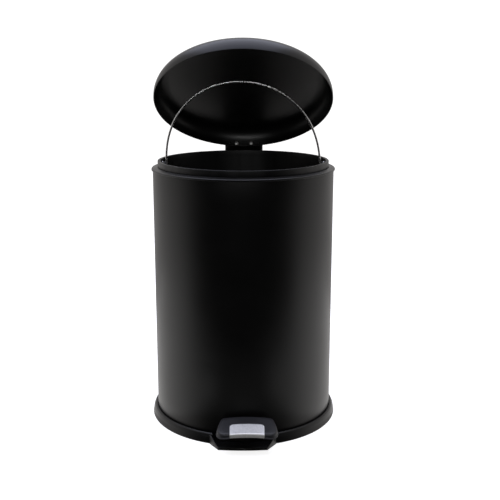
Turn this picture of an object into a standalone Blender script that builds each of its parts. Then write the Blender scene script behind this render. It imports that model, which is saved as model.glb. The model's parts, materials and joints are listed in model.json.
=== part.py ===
"""Pedal trash can: round steel body, lift-out bucket with a wire bail, domed lid on a rear hinge.

The pedal lever turns on an axle in the base and lifts a push rod, which turns the lid's crank.
Metres, +Z up, the front faces -Y, and the origin is on the can's axis at floor level.
The model stands at rest: lid half open, pedal half pressed, bail upright.
"""

import math

import bmesh
import bpy
from mathutils import Matrix, Vector

# General
SEGMENTS = 64  # steps of every turned part, so that their facets line up
SMALL_STEPS = 18  # steps of pins, screws and bores
GAP = 0.0004  # between pieces that touch or are fitted
RUN = 0.0008  # between pieces that slide or turn on each other
BORE_PLAY = 0.0003  # of a bore round its pin, on the radius
SEAT_PLAY = 0.0006  # of a ring inside the shell, on the radius
FACE_PLAY = 0.0003  # of a curved face against the shell
EPS = 0.001  # how far a cutter runs past a face
SCREW_RADIUS = 0.0016
SCREW_HOLE_RADIUS = 0.0020
SCREW_HEAD_RADIUS = 0.0034

# Body shell and base
SHELL_RADIUS = 0.145
SHELL_WALL = 0.0008
SHELL_TOP = 0.410
BASE_RING_HEIGHT = 0.016
BASE_RING_FLARE = 0.0082  # ring radius beyond the shell
BASE_FLOOR = 0.003
BASE_GROOVE_Z = 0.0122
BASE_SPIGOT_TOP = 0.026
BASE_SPIGOT_WALL = 0.0022
PAD_RADIUS = 0.009
PAD_HEIGHT = 0.0016
PAD_INSET = 0.027  # pad centres inside the shell
PAD_ANGLES = (42, 138, 222, 318)  # degrees

# Pedal bay in the base
BAY_HALF_WIDTH = 0.0478
TRAY_REACH = 0.0246  # in front of the shell
TRAY_FRONT_HALF_WIDTH = 0.0355
TRAY_BOW = 0.0021  # the front edge's middle ahead of its corners
TRAY_FLOOR = 0.0024
TRAY_WALL = 0.0022
TRAY_LIP = 0.0042
TRAY_LIFT = 0.0005  # the tray's underside, clear of the floor

# Collar and bucket
COLLAR_OVERHANG = 0.002
COLLAR_HEIGHT = 0.005
COLLAR_SKIRT = 0.025
COLLAR_WALL = 0.002
BUCKET_RIM_INSET = 0.008  # rim inside the shell
BUCKET_RIM_LIP = 0.003  # rim beyond the bucket's side
BUCKET_RIM_HEIGHT = 0.0095
BUCKET_WALL = 0.002
BUCKET_BOTTOM_Z = 0.042
BUCKET_TAPER = 0.0115  # on the radius, rim to bottom

# Lid
LID_OVERHANG = 0.001  # beyond the shell
LID_WALL = 0.001
LID_SKIRT = 0.005
LID_SHOULDER = 0.030
LID_HEIGHT = 0.044
LID_GAP = 0.0006
LID_HEM = 0.0014
LID_OPENING = math.radians(35.3)  # at rest, from closed

# Hinge
HINGE_BEHIND = 0.030  # pivot behind the shell
HINGE_BELOW = 0.005  # pivot below the top of the shell
HINGE_PIN_RADIUS = 0.003
BARREL_RADIUS = 0.007
ARM_HALF_WIDTH = 0.0335
ARM_PAD_HEIGHT = 0.013
CRANK_LENGTH = 0.024
CRANK_PIN_RADIUS = 0.002
CRANK_THICKNESS = 0.005
HOUSING_WALL = 0.0026
HOUSING_DROP = 0.102  # below the top of the shell
HOUSING_ROOM = 0.013  # inside depth behind the pivot, past the arm's swing
HOUSING_FOOT_REACH = 0.008
HOUSING_BEND_DROP = 0.050  # where its back turns in, below the top of the shell
HOUSING_SCREW_ANGLE = math.radians(9)  # either side of the rear
LID_SCREW_SPREAD = 0.013
LID_RIVET_SPREAD = 0.0255
LID_SCREW_LENGTH = 0.0075

# Push rod
ROD_RADIUS = 0.002
ROD_INSET = 0.0075  # centre line inside the shell
ROD_STEP_DROP = 0.055  # top of its step, below the crank pin
ROD_STEP_HEIGHT = 0.015
ROD_BEND_RADIUS = 0.005
GUIDE_LOW = 0.090  # underside of the lower guide
GUIDE_DROP = 0.120  # underside of the upper guide, below the top of the shell
GUIDE_HEIGHT = 0.010
GUIDE_HALF_WIDTH = 0.009
EYE_THICKNESS = 0.006
EYE_WALL = 0.0024
EYE_PLAY = 0.0012  # extra height of the eye's slot

# Lever and pedal
PIVOT_Y = -0.020
PIVOT_Z = 0.017
AXLE_RADIUS = 0.003
AXLE_HALF_LENGTH = 0.0325
SLEEVE_WALL = 0.0025
LEVER_HALF_WIDTH = 0.010
LEVER_THICKNESS = 0.004
LEVER_Z = 0.024
BRACKET_X = 0.026
BRACKET_THICKNESS = 0.003
BRACKET_SCREW_REACH = 0.010  # screw beside the upright
FLANGE_REACH = 0.017
FLANGE_THICKNESS = 0.0022
PEDAL_X = 0.0065  # the pedal sits a little to the right of the axis
PEDAL_HALF_WIDTH = 0.047
PEDAL_REAR_HALF_WIDTH = 0.0425
PEDAL_REAR_GAP = 0.0055
PEDAL_DEPTH = 0.0395
PEDAL_REAR_Z = 0.0500
PEDAL_SLOPE = math.radians(17.3)
PEDAL_CROWN_RADIUS = 0.260
PEDAL_SKIRT = 0.0070
PEDAL_WALL = 0.0022
PEDAL_CORNER = 0.014
PEDAL_REAR_CORNER = 0.007
PEDAL_STACK = 0.0075  # from the tread's top to the middle of the lever
PEDAL_SCREW_SPREAD = 0.012
PEDAL_SCREW_INSET = 0.0215  # behind the pedal's front
FOOT_INSET = 0.010  # end of the lever behind the pedal's front
FOOT_LENGTH = 0.021
FOOT_HALF_WIDTH = 0.018
PLATE_HALF_WIDTH = 0.026
PLATE_DEPTH = 0.0195
PLATE_THICKNESS = 0.0009
PLATE_LIP = 0.0060
PLATE_CORNER = 0.005
PLATE_FOLD = 0.0022  # radius of the bend over the front

# Bail
BAIL_RADIUS = 0.0017
BAIL_INSET = 0.0088  # legs inside the bucket's side
BAIL_SHORT = 0.0025  # top of the arch, laid down, inside the bucket's side
BAIL_SKEW = -0.005
BAIL_POWER = 2.1  # exponent of the arch, 2 would be an ellipse
BAIL_PIVOT_DROP = 0.009  # below the bucket's rim
BAIL_FOOT = 0.0061  # from leg to turned-up tail
BAIL_TAIL = 0.006

# Worked out from the sizes above
SHELL_INNER = SHELL_RADIUS - SHELL_WALL
SHELL_BOTTOM = BASE_GROOVE_Z + GAP
BASE_RADIUS = SHELL_RADIUS + BASE_RING_FLARE
SPIGOT_RADIUS = SHELL_INNER - SEAT_PLAY
SPIGOT_INNER = SPIGOT_RADIUS - BASE_SPIGOT_WALL
PAD_CIRCLE = SHELL_RADIUS - PAD_INSET
TRAY_FRONT_Y = -SHELL_RADIUS - TRAY_REACH
TRAY_CORNER_Y = TRAY_FRONT_Y + TRAY_BOW
COLLAR_RADIUS = SHELL_RADIUS + COLLAR_OVERHANG
COLLAR_BOTTOM = SHELL_TOP + GAP
COLLAR_TOP = COLLAR_BOTTOM + COLLAR_HEIGHT
COLLAR_EDGE = COLLAR_TOP - 0.0019
RIM_BOTTOM = COLLAR_TOP + GAP
RIM_TOP = COLLAR_TOP + BUCKET_RIM_HEIGHT + 0.0002
BUCKET_RIM_RADIUS = SHELL_RADIUS - BUCKET_RIM_INSET
BUCKET_RADIUS = BUCKET_RIM_RADIUS - BUCKET_RIM_LIP
BUCKET_BOTTOM_RADIUS = BUCKET_RADIUS - BUCKET_TAPER
COLLAR_INNER = BUCKET_RADIUS + RUN
LID_RADIUS = SHELL_RADIUS + LID_OVERHANG
LID_Z = COLLAR_EDGE + LID_GAP
HINGE_Y = SHELL_RADIUS + HINGE_BEHIND
HINGE_Z = SHELL_TOP - HINGE_BELOW
HINGE = Vector((0, HINGE_Y, HINGE_Z))
CRANK_PIN = Vector((0, HINGE_Y - CRANK_LENGTH, HINGE_Z))  # at rest the crank lies level
CRANK_X = EYE_THICKNESS / 2 + RUN + CRANK_THICKNESS / 2
ROD_INSIDE_Y = SHELL_RADIUS - ROD_INSET
ROD_TRAVEL = CRANK_LENGTH * math.sin(LID_OPENING)  # each way from rest
LEVER_SWING = ROD_TRAVEL / (ROD_INSIDE_Y - PIVOT_Y)  # angle each way from rest
PIVOT = Vector((0, PIVOT_Y, PIVOT_Z))
PEDAL_REAR_Y = -SHELL_RADIUS - PEDAL_REAR_GAP
PEDAL_FRONT_Y = PEDAL_REAR_Y - PEDAL_DEPTH
PEDAL_SCREW_Y = PEDAL_FRONT_Y + PEDAL_SCREW_INSET
FOOT_Y = PEDAL_FRONT_Y + FOOT_INSET
BAIL_PIVOT_Z = RIM_TOP - BAIL_PIVOT_DROP
BAIL_HALF_SPAN = BUCKET_RADIUS - BUCKET_WALL - BAIL_INSET
BAIL_RISE = BUCKET_RADIUS - BAIL_SHORT
BAIL_TAIL_X = BAIL_HALF_SPAN + BAIL_FOOT
HOUSING_HALF_WIDTH = ARM_HALF_WIDTH + 0.0045
HOUSING_SEAT_RADIUS = SHELL_RADIUS + 0.006
HOUSING_BOTTOM = SHELL_TOP - HOUSING_DROP
HOUSING_BEND_Z = SHELL_TOP - HOUSING_BEND_DROP
HOUSING_TOP = COLLAR_TOP - 0.0006

# Materials: colour, roughness, metallic
FINISHES = {
    "coated_steel": ((0.011, 0.011, 0.012), 0.38, 0.0),
    "black_plastic": ((0.014, 0.014, 0.016), 0.45, 0.0),
    "bucket_plastic": ((0.010, 0.010, 0.011), 0.50, 0.0),
    "pedal_plastic": ((0.040, 0.041, 0.046), 0.42, 0.0),
    "stainless_steel": ((0.62, 0.62, 0.61), 0.28, 1.0),
    "chromed_wire": ((0.72, 0.73, 0.74), 0.12, 1.0),
    "zinc_steel": ((0.50, 0.50, 0.48), 0.35, 1.0),
    "rubber": ((0.02, 0.02, 0.02), 0.85, 0.0),
}


def clear_scene():
    for thing in list(bpy.data.objects):
        bpy.data.objects.remove(thing, do_unlink=True)


def new_collection(name):
    group = bpy.data.collections.new(name)
    bpy.context.scene.collection.children.link(group)
    return group


def finish(name):
    """The Principled material of that name, made the first time it is asked for."""
    if name in bpy.data.materials:
        return bpy.data.materials[name]
    colour, roughness, metallic = FINISHES[name]
    material = bpy.data.materials.new(name)
    material.use_nodes = True
    shader = material.node_tree.nodes["Principled BSDF"]
    shader.inputs["Base Color"].default_value = (*colour, 1)
    shader.inputs["Roughness"].default_value = roughness
    shader.inputs["Metallic"].default_value = metallic
    return material


def new_object(name, shape, material=None):
    """An object in the can's collection or, with no material, a hidden cutter."""
    thing = bpy.data.objects.new(name, shape)
    if material:
        CAN.objects.link(thing)
        shape.materials.append(finish(material))
    else:
        CUTTERS.objects.link(thing)
        thing.hide_render = True
        thing.display_type = "WIRE"
    return thing


def from_bmesh(name, bm, material=None, smooth_angle=40):
    bmesh.ops.recalc_face_normals(bm, faces=bm.faces)
    mesh = bpy.data.meshes.new(name)
    bm.to_mesh(mesh)
    bm.free()
    mesh.shade_smooth()
    mesh.set_sharp_from_angle(angle=math.radians(smooth_angle))
    return new_object(name, mesh, material)


def arc(centre, radius, start, end, steps):
    """Points along an arc, angles in degrees, both ends included."""
    angles = [math.radians(start + (end - start) * i / steps) for i in range(steps + 1)]
    return [(centre[0] + radius * math.cos(a), centre[1] + radius * math.sin(a)) for a in angles]


def turned(name, profile, material=None, steps=SEGMENTS, closed=False):
    """A profile of (radius, height), running down its outer side, turned about Z."""
    mesh = bpy.data.meshes.new(name)
    count = len(profile)
    edges = [(i, i + 1) for i in range(count - 1)]
    if closed:
        edges.append((count - 1, 0))
    mesh.from_pydata([(r, 0, z) for r, z in profile], edges, [])
    thing = new_object(name, mesh, material)
    screw = thing.modifiers.new("Turn", "SCREW")
    screw.steps = steps
    screw.render_steps = steps
    screw.use_merge_vertices = True
    screw.merge_threshold = 0.00001
    screw.use_smooth_shade = True
    return thing


def prism(name, outline, low, high, material=None, axis="X"):
    """A flat outline pushed along an axis: points are (y, z) along X, or (x, y) along Z."""
    bm = bmesh.new()
    if axis == "X":
        points = [bm.verts.new((low, a, b)) for a, b in outline]
        push = Vector((high - low, 0, 0))
    else:
        points = [bm.verts.new((a, b, low)) for a, b in outline]
        push = Vector((0, 0, high - low))
    face = bm.faces.new(points)
    sides = bmesh.ops.extrude_face_region(bm, geom=[face])
    moved = [v for v in sides["geom"] if isinstance(v, bmesh.types.BMVert)]
    bmesh.ops.translate(bm, verts=moved, vec=push)
    return from_bmesh(name, bm, material)


def box(name, low, high, material=None):
    """An upright box between two corners."""
    low, high = Vector(low), Vector(high)
    bm = bmesh.new()
    bmesh.ops.create_cube(bm, size=1)
    size = Matrix.Diagonal((*(high - low), 1))
    bmesh.ops.transform(bm, matrix=Matrix.Translation((low + high) / 2) @ size, verts=bm.verts)
    return from_bmesh(name, bm, material)


def rod_between(name, start, end, radius, material=None, steps=SMALL_STEPS):
    """A round bar from one point to another."""
    start, end = Vector(start), Vector(end)
    bm = bmesh.new()
    bmesh.ops.create_cone(
        bm, cap_ends=True, segments=steps, radius1=radius, radius2=radius, depth=(end - start).length
    )
    turn = (end - start).to_track_quat("Z", "Y").to_matrix().to_4x4()
    bmesh.ops.transform(bm, matrix=Matrix.Translation((start + end) / 2) @ turn, verts=bm.verts)
    return from_bmesh(name, bm, material)


def cut(thing, *cutters):
    for cutter in cutters:
        boolean = thing.modifiers.new("Cut " + cutter.name, "BOOLEAN")
        boolean.operation = "DIFFERENCE"
        boolean.object = cutter
        cutter.parent = thing.parent
        cutter.location = thing.location


def join(thing, *others):
    """Adds shapes to a piece; the shapes themselves stay hidden like cutters."""
    for other in others:
        boolean = thing.modifiers.new("Join " + other.name, "BOOLEAN")
        boolean.operation = "UNION"
        boolean.object = other
        other.parent = thing.parent
        other.location = thing.location


def soften(thing, width, segments=2, angle=40):
    bevel = thing.modifiers.new("Soften", "BEVEL")
    bevel.width = width
    bevel.segments = segments
    bevel.limit_method = "ANGLE"
    bevel.angle_limit = math.radians(angle)


def pivot_empty(name, place, turn=0.0):
    """An empty on a joint's axis, turned about X."""
    empty = bpy.data.objects.new(name, None)
    CAN.objects.link(empty)
    empty.location = place
    empty.rotation_euler = (turn, 0, 0)
    empty.empty_display_size = 0.02
    return empty


def hang(thing, empty):
    """Parents a piece drawn in the can's own coordinates, so that it turns with the empty."""
    thing.parent = empty
    thing.location = -empty.location
    return thing


def capsule(centre_a, centre_b, radius_a, radius_b, steps=10):
    """The outline round two circles, as where a link goes round two pins."""
    a, b = Vector(centre_a), Vector(centre_b)
    along = b - a
    base = math.degrees(math.atan2(along.y, along.x))
    spread = math.degrees(math.acos((radius_a - radius_b) / along.length))
    return arc(b, radius_b, base - spread, base + spread, steps) + arc(
        a, radius_a, base + spread, base + 360 - spread, steps
    )


def steel_shell():
    profile = [
        (SHELL_INNER, SHELL_TOP),
        (SHELL_RADIUS, SHELL_TOP),
        (SHELL_RADIUS, SHELL_BOTTOM),
        (SHELL_INNER, SHELL_BOTTOM),
    ]
    shell = turned("outer_shell", profile, "coated_steel", closed=True)
    cut(shell, lever_window("shell_lever_window"), rod_slot())
    for side, x in (("left", -1), ("right", 1)):
        hole = rod_between(
            f"shell_screw_hole_{side}",
            housing_screw_point(x, SHELL_INNER - 0.004),
            housing_screw_point(x, SHELL_RADIUS + 0.004),
            SCREW_HOLE_RADIUS,
        )
        cut(shell, hole)


def lever_reach(y):
    """How far the lever rises or falls at that place."""
    return abs(y - PIVOT_Y) * math.tan(LEVER_SWING)


def lever_window(name):
    """The opening where the lever passes through the front of the shell and the spigot."""
    travel = lever_reach(-SHELL_RADIUS) + LEVER_THICKNESS / 2
    half = LEVER_HALF_WIDTH + 0.0025
    low = (-half, -SHELL_RADIUS - 0.004, LEVER_Z - travel - 0.0012)
    high = (half, -SPIGOT_RADIUS + BASE_SPIGOT_WALL + 0.006, LEVER_Z + travel + 0.0035)
    return box(name, low, high)


def rod_joggle():
    """The heights where the rod leaves its inside line and reaches its outside line."""
    top = CRANK_PIN.z - ROD_STEP_DROP
    return top - ROD_STEP_HEIGHT, top


def rod_slot():
    """The slot in the rear of the shell that the push rod's step moves in."""
    low, high = rod_joggle()
    middle = (low + high) / 2
    reach = ROD_TRAVEL + 0.0055
    half = ROD_RADIUS + 0.002
    return box(
        "shell_rod_slot",
        (-half, SHELL_INNER - 0.006, middle - reach),
        (half, SHELL_RADIUS + 0.004, middle + reach),
    )


def base_pan():
    ring = BASE_RADIUS
    top = BASE_RING_HEIGHT
    seat = SHELL_RADIUS + SEAT_PLAY
    profile = [
        (0, BASE_FLOOR),
        (SPIGOT_INNER, BASE_FLOOR),
        (SPIGOT_INNER, BASE_SPIGOT_TOP),
        (SPIGOT_RADIUS, BASE_SPIGOT_TOP),
        (SPIGOT_RADIUS, BASE_GROOVE_Z),
        (seat, BASE_GROOVE_Z),
        (seat, top),
        (ring - 0.0050, top),
        (ring - 0.0034, top - 0.0015),
        (ring - 0.0014, top - 0.006),
        (ring - 0.0002, 0.004),
        (ring, 0.0008),
        (ring - 0.0008, 0),
        (0, 0),
    ]
    pan = turned("base_pan", profile, "black_plastic")
    cut(pan, bay_cutter())
    join(pan, tray_floor(), *tray_walls())
    cut(pan, lever_window("pan_lever_window"), rear_spigot_notch())
    for number, (x, y) in enumerate(pad_places(), 1):
        pocket = rod_between(
            f"pad_pocket_{number}", (x, y, -EPS), (x, y, PAD_HEIGHT + GAP), PAD_RADIUS + GAP
        )
        cut(pan, pocket)
    for side, x in (("left", -1), ("right", 1)):
        x *= BRACKET_X + BRACKET_SCREW_REACH
        hole = rod_between(
            f"bracket_pilot_{side}", (x, PIVOT_Y, 0.0012), (x, PIVOT_Y, BASE_FLOOR + EPS), 0.0019
        )
        cut(pan, hole)


def bay_cutter():
    """Takes the ring away in front of the pedal and leaves the spigot standing."""
    radius = SPIGOT_RADIUS + FACE_PLAY
    lean = math.degrees(math.asin(BAY_HALF_WIDTH / radius))
    outline = arc((0, 0), radius, -90 - lean, -90 + lean, 16)
    front = -BASE_RADIUS - 0.01
    outline += [(BAY_HALF_WIDTH, front), (-BAY_HALF_WIDTH, front)]
    return prism("bay_cutter", outline, BASE_FLOOR, BASE_RING_HEIGHT + EPS, axis="Z")


def tray_outline(inset, side_inset):
    """The tray's plan in front of the can, from its left rear corner round to the right."""
    front = TRAY_FRONT_HALF_WIDTH - side_inset
    side = BAY_HALF_WIDTH - side_inset
    steps = 6
    edge = []
    for i in range(steps + 1):
        share = 2 * i / steps - 1
        edge.append((share * front, TRAY_FRONT_Y + inset + TRAY_BOW * share * share))
    rear = -SPIGOT_RADIUS * 0.95
    left = [(-side, rear), (-side, -tray_wall_y() + inset)]
    right = [(side, -tray_wall_y() + inset), (side, rear)]
    return left + edge + right


def tray_wall_y():
    """How far in front of the axis the tray's side walls leave the ring."""
    return math.sqrt(BASE_RADIUS**2 - BAY_HALF_WIDTH**2) + 0.0018


def tray_floor():
    half_wall = TRAY_WALL / 2
    outline = tray_outline(half_wall, -half_wall)
    return prism("tray_join", outline, TRAY_LIFT, TRAY_FLOOR, axis="Z")


def tray_walls():
    """Side walls that slope from the ring's height down to a lip along the front."""
    back = (BAY_HALF_WIDTH, -tray_wall_y())
    front = (TRAY_FRONT_HALF_WIDTH, TRAY_CORNER_Y)
    length = math.dist(back, front)
    heading = math.atan2(front[1] - back[1], front[0] - back[0])
    walls = []
    for side, sign in (("left", -1), ("right", 1)):
        outline = [(-0.004, TRAY_LIFT), (length, TRAY_LIFT), (length, TRAY_LIP)]
        outline += [(-0.002, BASE_RING_HEIGHT - 0.0005)]
        wall = prism(f"tray_wall_join_{side}", outline, -TRAY_WALL, 0)
        turn = Matrix.Rotation(heading - math.pi / 2, 4, "Z")
        wall.data.transform(Matrix.Translation((back[0], back[1], 0)) @ turn)
        if sign < 0:
            wall.data.transform(Matrix.Diagonal((-1, 1, 1, 1)))
            wall.data.flip_normals()
        walls.append(wall)
    lip = tray_outline(0.0007, 0.0007)[2:-2]
    lip += [(x * 0.97, y + 0.0018) for x, y in reversed(lip)]
    walls.append(prism("tray_lip_join", lip, TRAY_LIFT, TRAY_LIP - 0.0003, axis="Z"))
    return walls


def rear_spigot_notch():
    """Room behind the lever's rear end for the push rod."""
    half = LEVER_HALF_WIDTH + 0.0025
    return box(
        "spigot_rear_notch",
        (-half, SPIGOT_INNER - 0.004, BASE_FLOOR + 0.0005),
        (half, SPIGOT_RADIUS + FACE_PLAY, BASE_SPIGOT_TOP + EPS),
    )


def pad_places():
    places = []
    for degrees in PAD_ANGLES:
        a = math.radians(degrees)
        places.append((PAD_CIRCLE * math.cos(a), PAD_CIRCLE * math.sin(a)))
    return places


def foot_pads():
    for number, (x, y) in enumerate(pad_places(), 1):
        rod_between(f"foot_pad_{number}", (x, y, 0), (x, y, PAD_HEIGHT), PAD_RADIUS, "rubber")


def top_collar():
    skirt_outer = SHELL_INNER - SEAT_PLAY
    skirt_inner = skirt_outer - COLLAR_WALL
    profile = [
        (COLLAR_INNER, COLLAR_TOP),
        (BUCKET_RIM_RADIUS + 0.0012, COLLAR_TOP),
        (COLLAR_RADIUS - 0.0008, COLLAR_EDGE),
        (COLLAR_RADIUS, COLLAR_EDGE - 0.0008),
        (COLLAR_RADIUS, COLLAR_BOTTOM + 0.0004),
        (COLLAR_RADIUS - 0.0004, COLLAR_BOTTOM),
        (skirt_outer, COLLAR_BOTTOM),
        (skirt_outer, SHELL_TOP - COLLAR_SKIRT),
        (skirt_inner, SHELL_TOP - COLLAR_SKIRT),
        (skirt_inner, COLLAR_TOP - 0.0068),
        (COLLAR_INNER, COLLAR_TOP - 0.0068),
    ]
    collar = turned("top_collar", profile, "black_plastic", closed=True)
    half = EYE_THICKNESS / 2 + 0.003
    notch = box(
        "collar_rod_notch",
        (-half, SHELL_RADIUS + FACE_PLAY, COLLAR_BOTTOM - EPS),
        (half, COLLAR_RADIUS + 0.003, COLLAR_TOP + EPS),
    )
    cut(collar, notch)


def bucket():
    rim = BUCKET_RIM_RADIUS
    wall = BUCKET_WALL
    bottom = BUCKET_BOTTOM_Z
    profile = [
        (0, bottom + wall),
        (BUCKET_BOTTOM_RADIUS - wall - 0.003, bottom + wall),
        (BUCKET_BOTTOM_RADIUS - wall, bottom + wall + 0.003),
        (BUCKET_RADIUS - wall, RIM_TOP - 0.0006),
        (BUCKET_RADIUS - wall + 0.0006, RIM_TOP),
        (rim - 0.0008, RIM_TOP),
        (rim, RIM_TOP - 0.0008),
        (rim, RIM_BOTTOM),
        (rim - 0.0014, RIM_BOTTOM),
        (rim - 0.0014, RIM_TOP - 0.0018),
        (BUCKET_RADIUS, RIM_TOP - 0.0018),
        (BUCKET_BOTTOM_RADIUS, bottom + 0.003),
        (BUCKET_BOTTOM_RADIUS - 0.003, bottom),
        (0, bottom),
    ]
    turned("bucket", profile, "bucket_plastic")


def bail_lugs():
    """Small ears inside the rim that the bail's feet turn in."""
    hole_x = BAIL_HALF_SPAN + BAIL_FOOT / 2
    thick = BAIL_FOOT - 2 * BAIL_RADIUS - 2 * GAP - 0.0002
    half_width = 0.0055
    wall_x = BUCKET_RADIUS - BUCKET_WALL
    foot_z = BAIL_PIVOT_Z - 0.0075
    drop = (RIM_TOP - foot_z) * (BUCKET_RADIUS - BUCKET_BOTTOM_RADIUS) / (RIM_TOP - BUCKET_BOTTOM_Z)
    outer = math.sqrt((wall_x - drop) ** 2 - half_width**2) - GAP - 0.0002
    for side, sign in (("left", -1), ("right", 1)):
        top = arc((0, BAIL_PIVOT_Z), half_width, 0, 180, 12)
        outline = top + [(-half_width, foot_z), (half_width, foot_z)]
        ends = sorted((sign * (hole_x - thick / 2), sign * (hole_x + thick / 2)))
        lug = prism(f"bail_lug_{side}", outline, *ends, "black_plastic")
        foot_ends = sorted((sign * hole_x, sign * outer))
        foot = box(
            f"lug_foot_{side}",
            (foot_ends[0], -half_width, foot_z),
            (foot_ends[1], half_width, foot_z + 0.0022),
        )
        join(lug, foot)
        hole = rod_between(
            f"lug_hole_{side}",
            (sign * (hole_x - 0.004), 0, BAIL_PIVOT_Z),
            (sign * (hole_x + 0.004), 0, BAIL_PIVOT_Z),
            BAIL_RADIUS + 0.0005,
        )
        cut(lug, hole)


def bail_path():
    """The wire's centre line: a tail, a foot under the lug, the arch, and the same again."""
    half = BAIL_FOOT / 2
    turns = 8
    arch_steps = 36
    points = [(-BAIL_TAIL_X, BAIL_TAIL), (-BAIL_TAIL_X, half)]
    centre = (-BAIL_HALF_SPAN - half, half)
    points += arc(centre, half, 180, 360, turns)[1:-1]
    for i in range(arch_steps + 1):
        angle = math.pi * (1 - i / arch_steps)
        rise = math.sin(angle) ** (2 / BAIL_POWER)
        across = math.copysign(abs(math.cos(angle)) ** (2 / BAIL_POWER), math.cos(angle))
        points.append((BAIL_HALF_SPAN * across + BAIL_SKEW * rise, half + (BAIL_RISE - half) * rise))
    points += arc((-centre[0], half), half, 180, 360, turns)[1:-1]
    points += [(BAIL_TAIL_X, half), (BAIL_TAIL_X, BAIL_TAIL)]
    return points


def bail(empty):
    wire = bpy.data.curves.new("bail", "CURVE")
    wire.dimensions = "3D"
    wire.bevel_depth = BAIL_RADIUS
    wire.bevel_resolution = 2
    wire.use_fill_caps = True
    path = bail_path()
    spline = wire.splines.new("POLY")
    spline.points.add(len(path) - 1)
    for point, (x, z) in zip(spline.points, path):
        point.co = (x, 0, z, 1)
    thing = new_object("bail", wire, "chromed_wire")
    thing.parent = empty


def lid_outline(spread=0.0, steps=4):
    """The lid's outer side from the crown down to the rim, moved out by spread, in closed height."""
    shoulder_r = LID_RADIUS - LID_SHOULDER
    shoulder_z = LID_Z + LID_SKIRT
    drop = LID_SKIRT - LID_HEIGHT
    crown = (shoulder_r**2 + drop**2 - LID_SHOULDER**2) / (-2 * LID_SHOULDER - 2 * drop)
    crown_z = LID_Z + LID_HEIGHT - crown
    split = math.degrees(math.atan2(shoulder_z - crown_z, shoulder_r))
    top = arc((0, crown_z), crown + spread, 90, split, steps)
    shoulder = arc((shoulder_r, shoulder_z), LID_SHOULDER + spread, split, 0, steps + 1)[1:]
    return [(0, top[0][1])] + top[1:] + shoulder


def lid(empty):
    outer = lid_outline()
    inner = lid_outline(-LID_WALL)
    hem = LID_RADIUS - LID_HEM
    profile = outer + [
        (LID_RADIUS, LID_Z + 0.0006),
        (LID_RADIUS - 0.0005, LID_Z),
        (hem + 0.0003, LID_Z),
        (hem, LID_Z + 0.0005),
        (hem, LID_Z + 0.0024),
        (LID_RADIUS - LID_WALL, LID_Z + 0.0030),
    ]
    dome = hang(turned("lid", profile + inner[::-1], "coated_steel"), empty)
    for name, x in lid_fixings():
        hole = rod_between(
            f"lid_hole_{name}",
            radial(x, LID_RADIUS - 0.006),
            radial(x, LID_RADIUS + 0.006),
            SCREW_HOLE_RADIUS + 0.0001,
        )
        cut(dome, hole)


def lid_fixings():
    return (
        ("screw_left", -LID_SCREW_SPREAD),
        ("screw_right", LID_SCREW_SPREAD),
        ("rivet_left", -LID_RIVET_SPREAD),
        ("rivet_right", LID_RIVET_SPREAD),
    )


def radial(x, radius):
    """A point on the line from the can's axis through the lid's fixing at x."""
    angle = math.asin(x / LID_RADIUS)
    return (radius * math.sin(angle), radius * math.cos(angle), LID_Z + LID_SKIRT)


def lid_fasteners(empty):
    """Two bright screws and two dark rivets that hold the arm to the lid."""
    inside = LID_RADIUS - LID_WALL - 0.0008
    for name, x in lid_fixings():
        bright = name.startswith("screw")
        head_radius = SCREW_HEAD_RADIUS if bright else 0.0024
        head_height = 0.0022 if bright else 0.0012
        profile = [(0, head_height), (head_radius * 0.55, head_height)]
        profile += arc((head_radius - 0.001, head_height - 0.001), 0.001, 60, 0, 3)
        profile += [(head_radius, 0), (SCREW_RADIUS, 0)]
        profile += [(SCREW_RADIUS, -LID_SCREW_LENGTH), (0, -LID_SCREW_LENGTH)]
        finish_name = "stainless_steel" if bright else "black_plastic"
        fastener = turned(f"lid_{name}", profile, finish_name, steps=SMALL_STEPS)
        fastener.parent = empty
        fastener.location = Vector(radial(x, inside)) - HINGE
        fastener.rotation_euler = (math.pi / 2, 0, -math.asin(x / LID_RADIUS))


def crank_end():
    """The crank pin's place, (y, z), when the lid is drawn closed."""
    across = CRANK_LENGTH * math.cos(LID_OPENING)
    down = CRANK_LENGTH * math.sin(LID_OPENING)
    return (HINGE_Y - across, HINGE_Z - down)


def hinge_arm(empty):
    """The bracket on the lid: a pad against its skirt, a neck, the barrel and the crank."""
    pad_low = LID_Z + 0.0008
    pad_high = LID_Z + ARM_PAD_HEIGHT
    start = LID_RADIUS - 0.012
    barrel = arc((HINGE_Y, HINGE_Z), BARREL_RADIUS, 62, -145, 14)
    outline = [(start, pad_high), (LID_RADIUS + 0.007, pad_high)]
    outline += barrel + [(LID_RADIUS + 0.0017, pad_low), (start, pad_low)]
    arm = prism("hinge_arm", outline, -ARM_HALF_WIDTH, ARM_HALF_WIDTH, "black_plastic")
    soften(arm, 0.0012)
    hang(arm, empty)
    clearance = turned("lid_clearance", lid_outline(GAP) + arm_inner_side())
    cut(arm, clearance)
    pin = crank_end()
    for side, sign in (("left", -1), ("right", 1)):
        ends = sorted(
            (sign * (CRANK_X - CRANK_THICKNESS / 2), sign * (CRANK_X + CRANK_THICKNESS / 2))
        )
        link = capsule((HINGE_Y, HINGE_Z), pin, BARREL_RADIUS - 0.001, CRANK_PIN_RADIUS + 0.0024)
        join(arm, prism(f"crank_join_{side}", link, *ends))
    reach = ARM_HALF_WIDTH + EPS
    bore = HINGE_PIN_RADIUS + BORE_PLAY
    cut(arm, rod_between("arm_bore", (-reach, HINGE_Y, HINGE_Z), (reach, HINGE_Y, HINGE_Z), bore))
    reach = CRANK_X + CRANK_THICKNESS
    bore = CRANK_PIN_RADIUS + BORE_PLAY
    cut(arm, rod_between("crank_bore", (-reach, *pin), (reach, *pin), bore))
    for name, x in lid_fixings():
        hole = rod_between(
            f"arm_hole_{name}",
            radial(x, LID_RADIUS - 0.003),
            radial(x, LID_RADIUS + 0.009),
            SCREW_HOLE_RADIUS,
        )
        cut(arm, hole)


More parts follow.
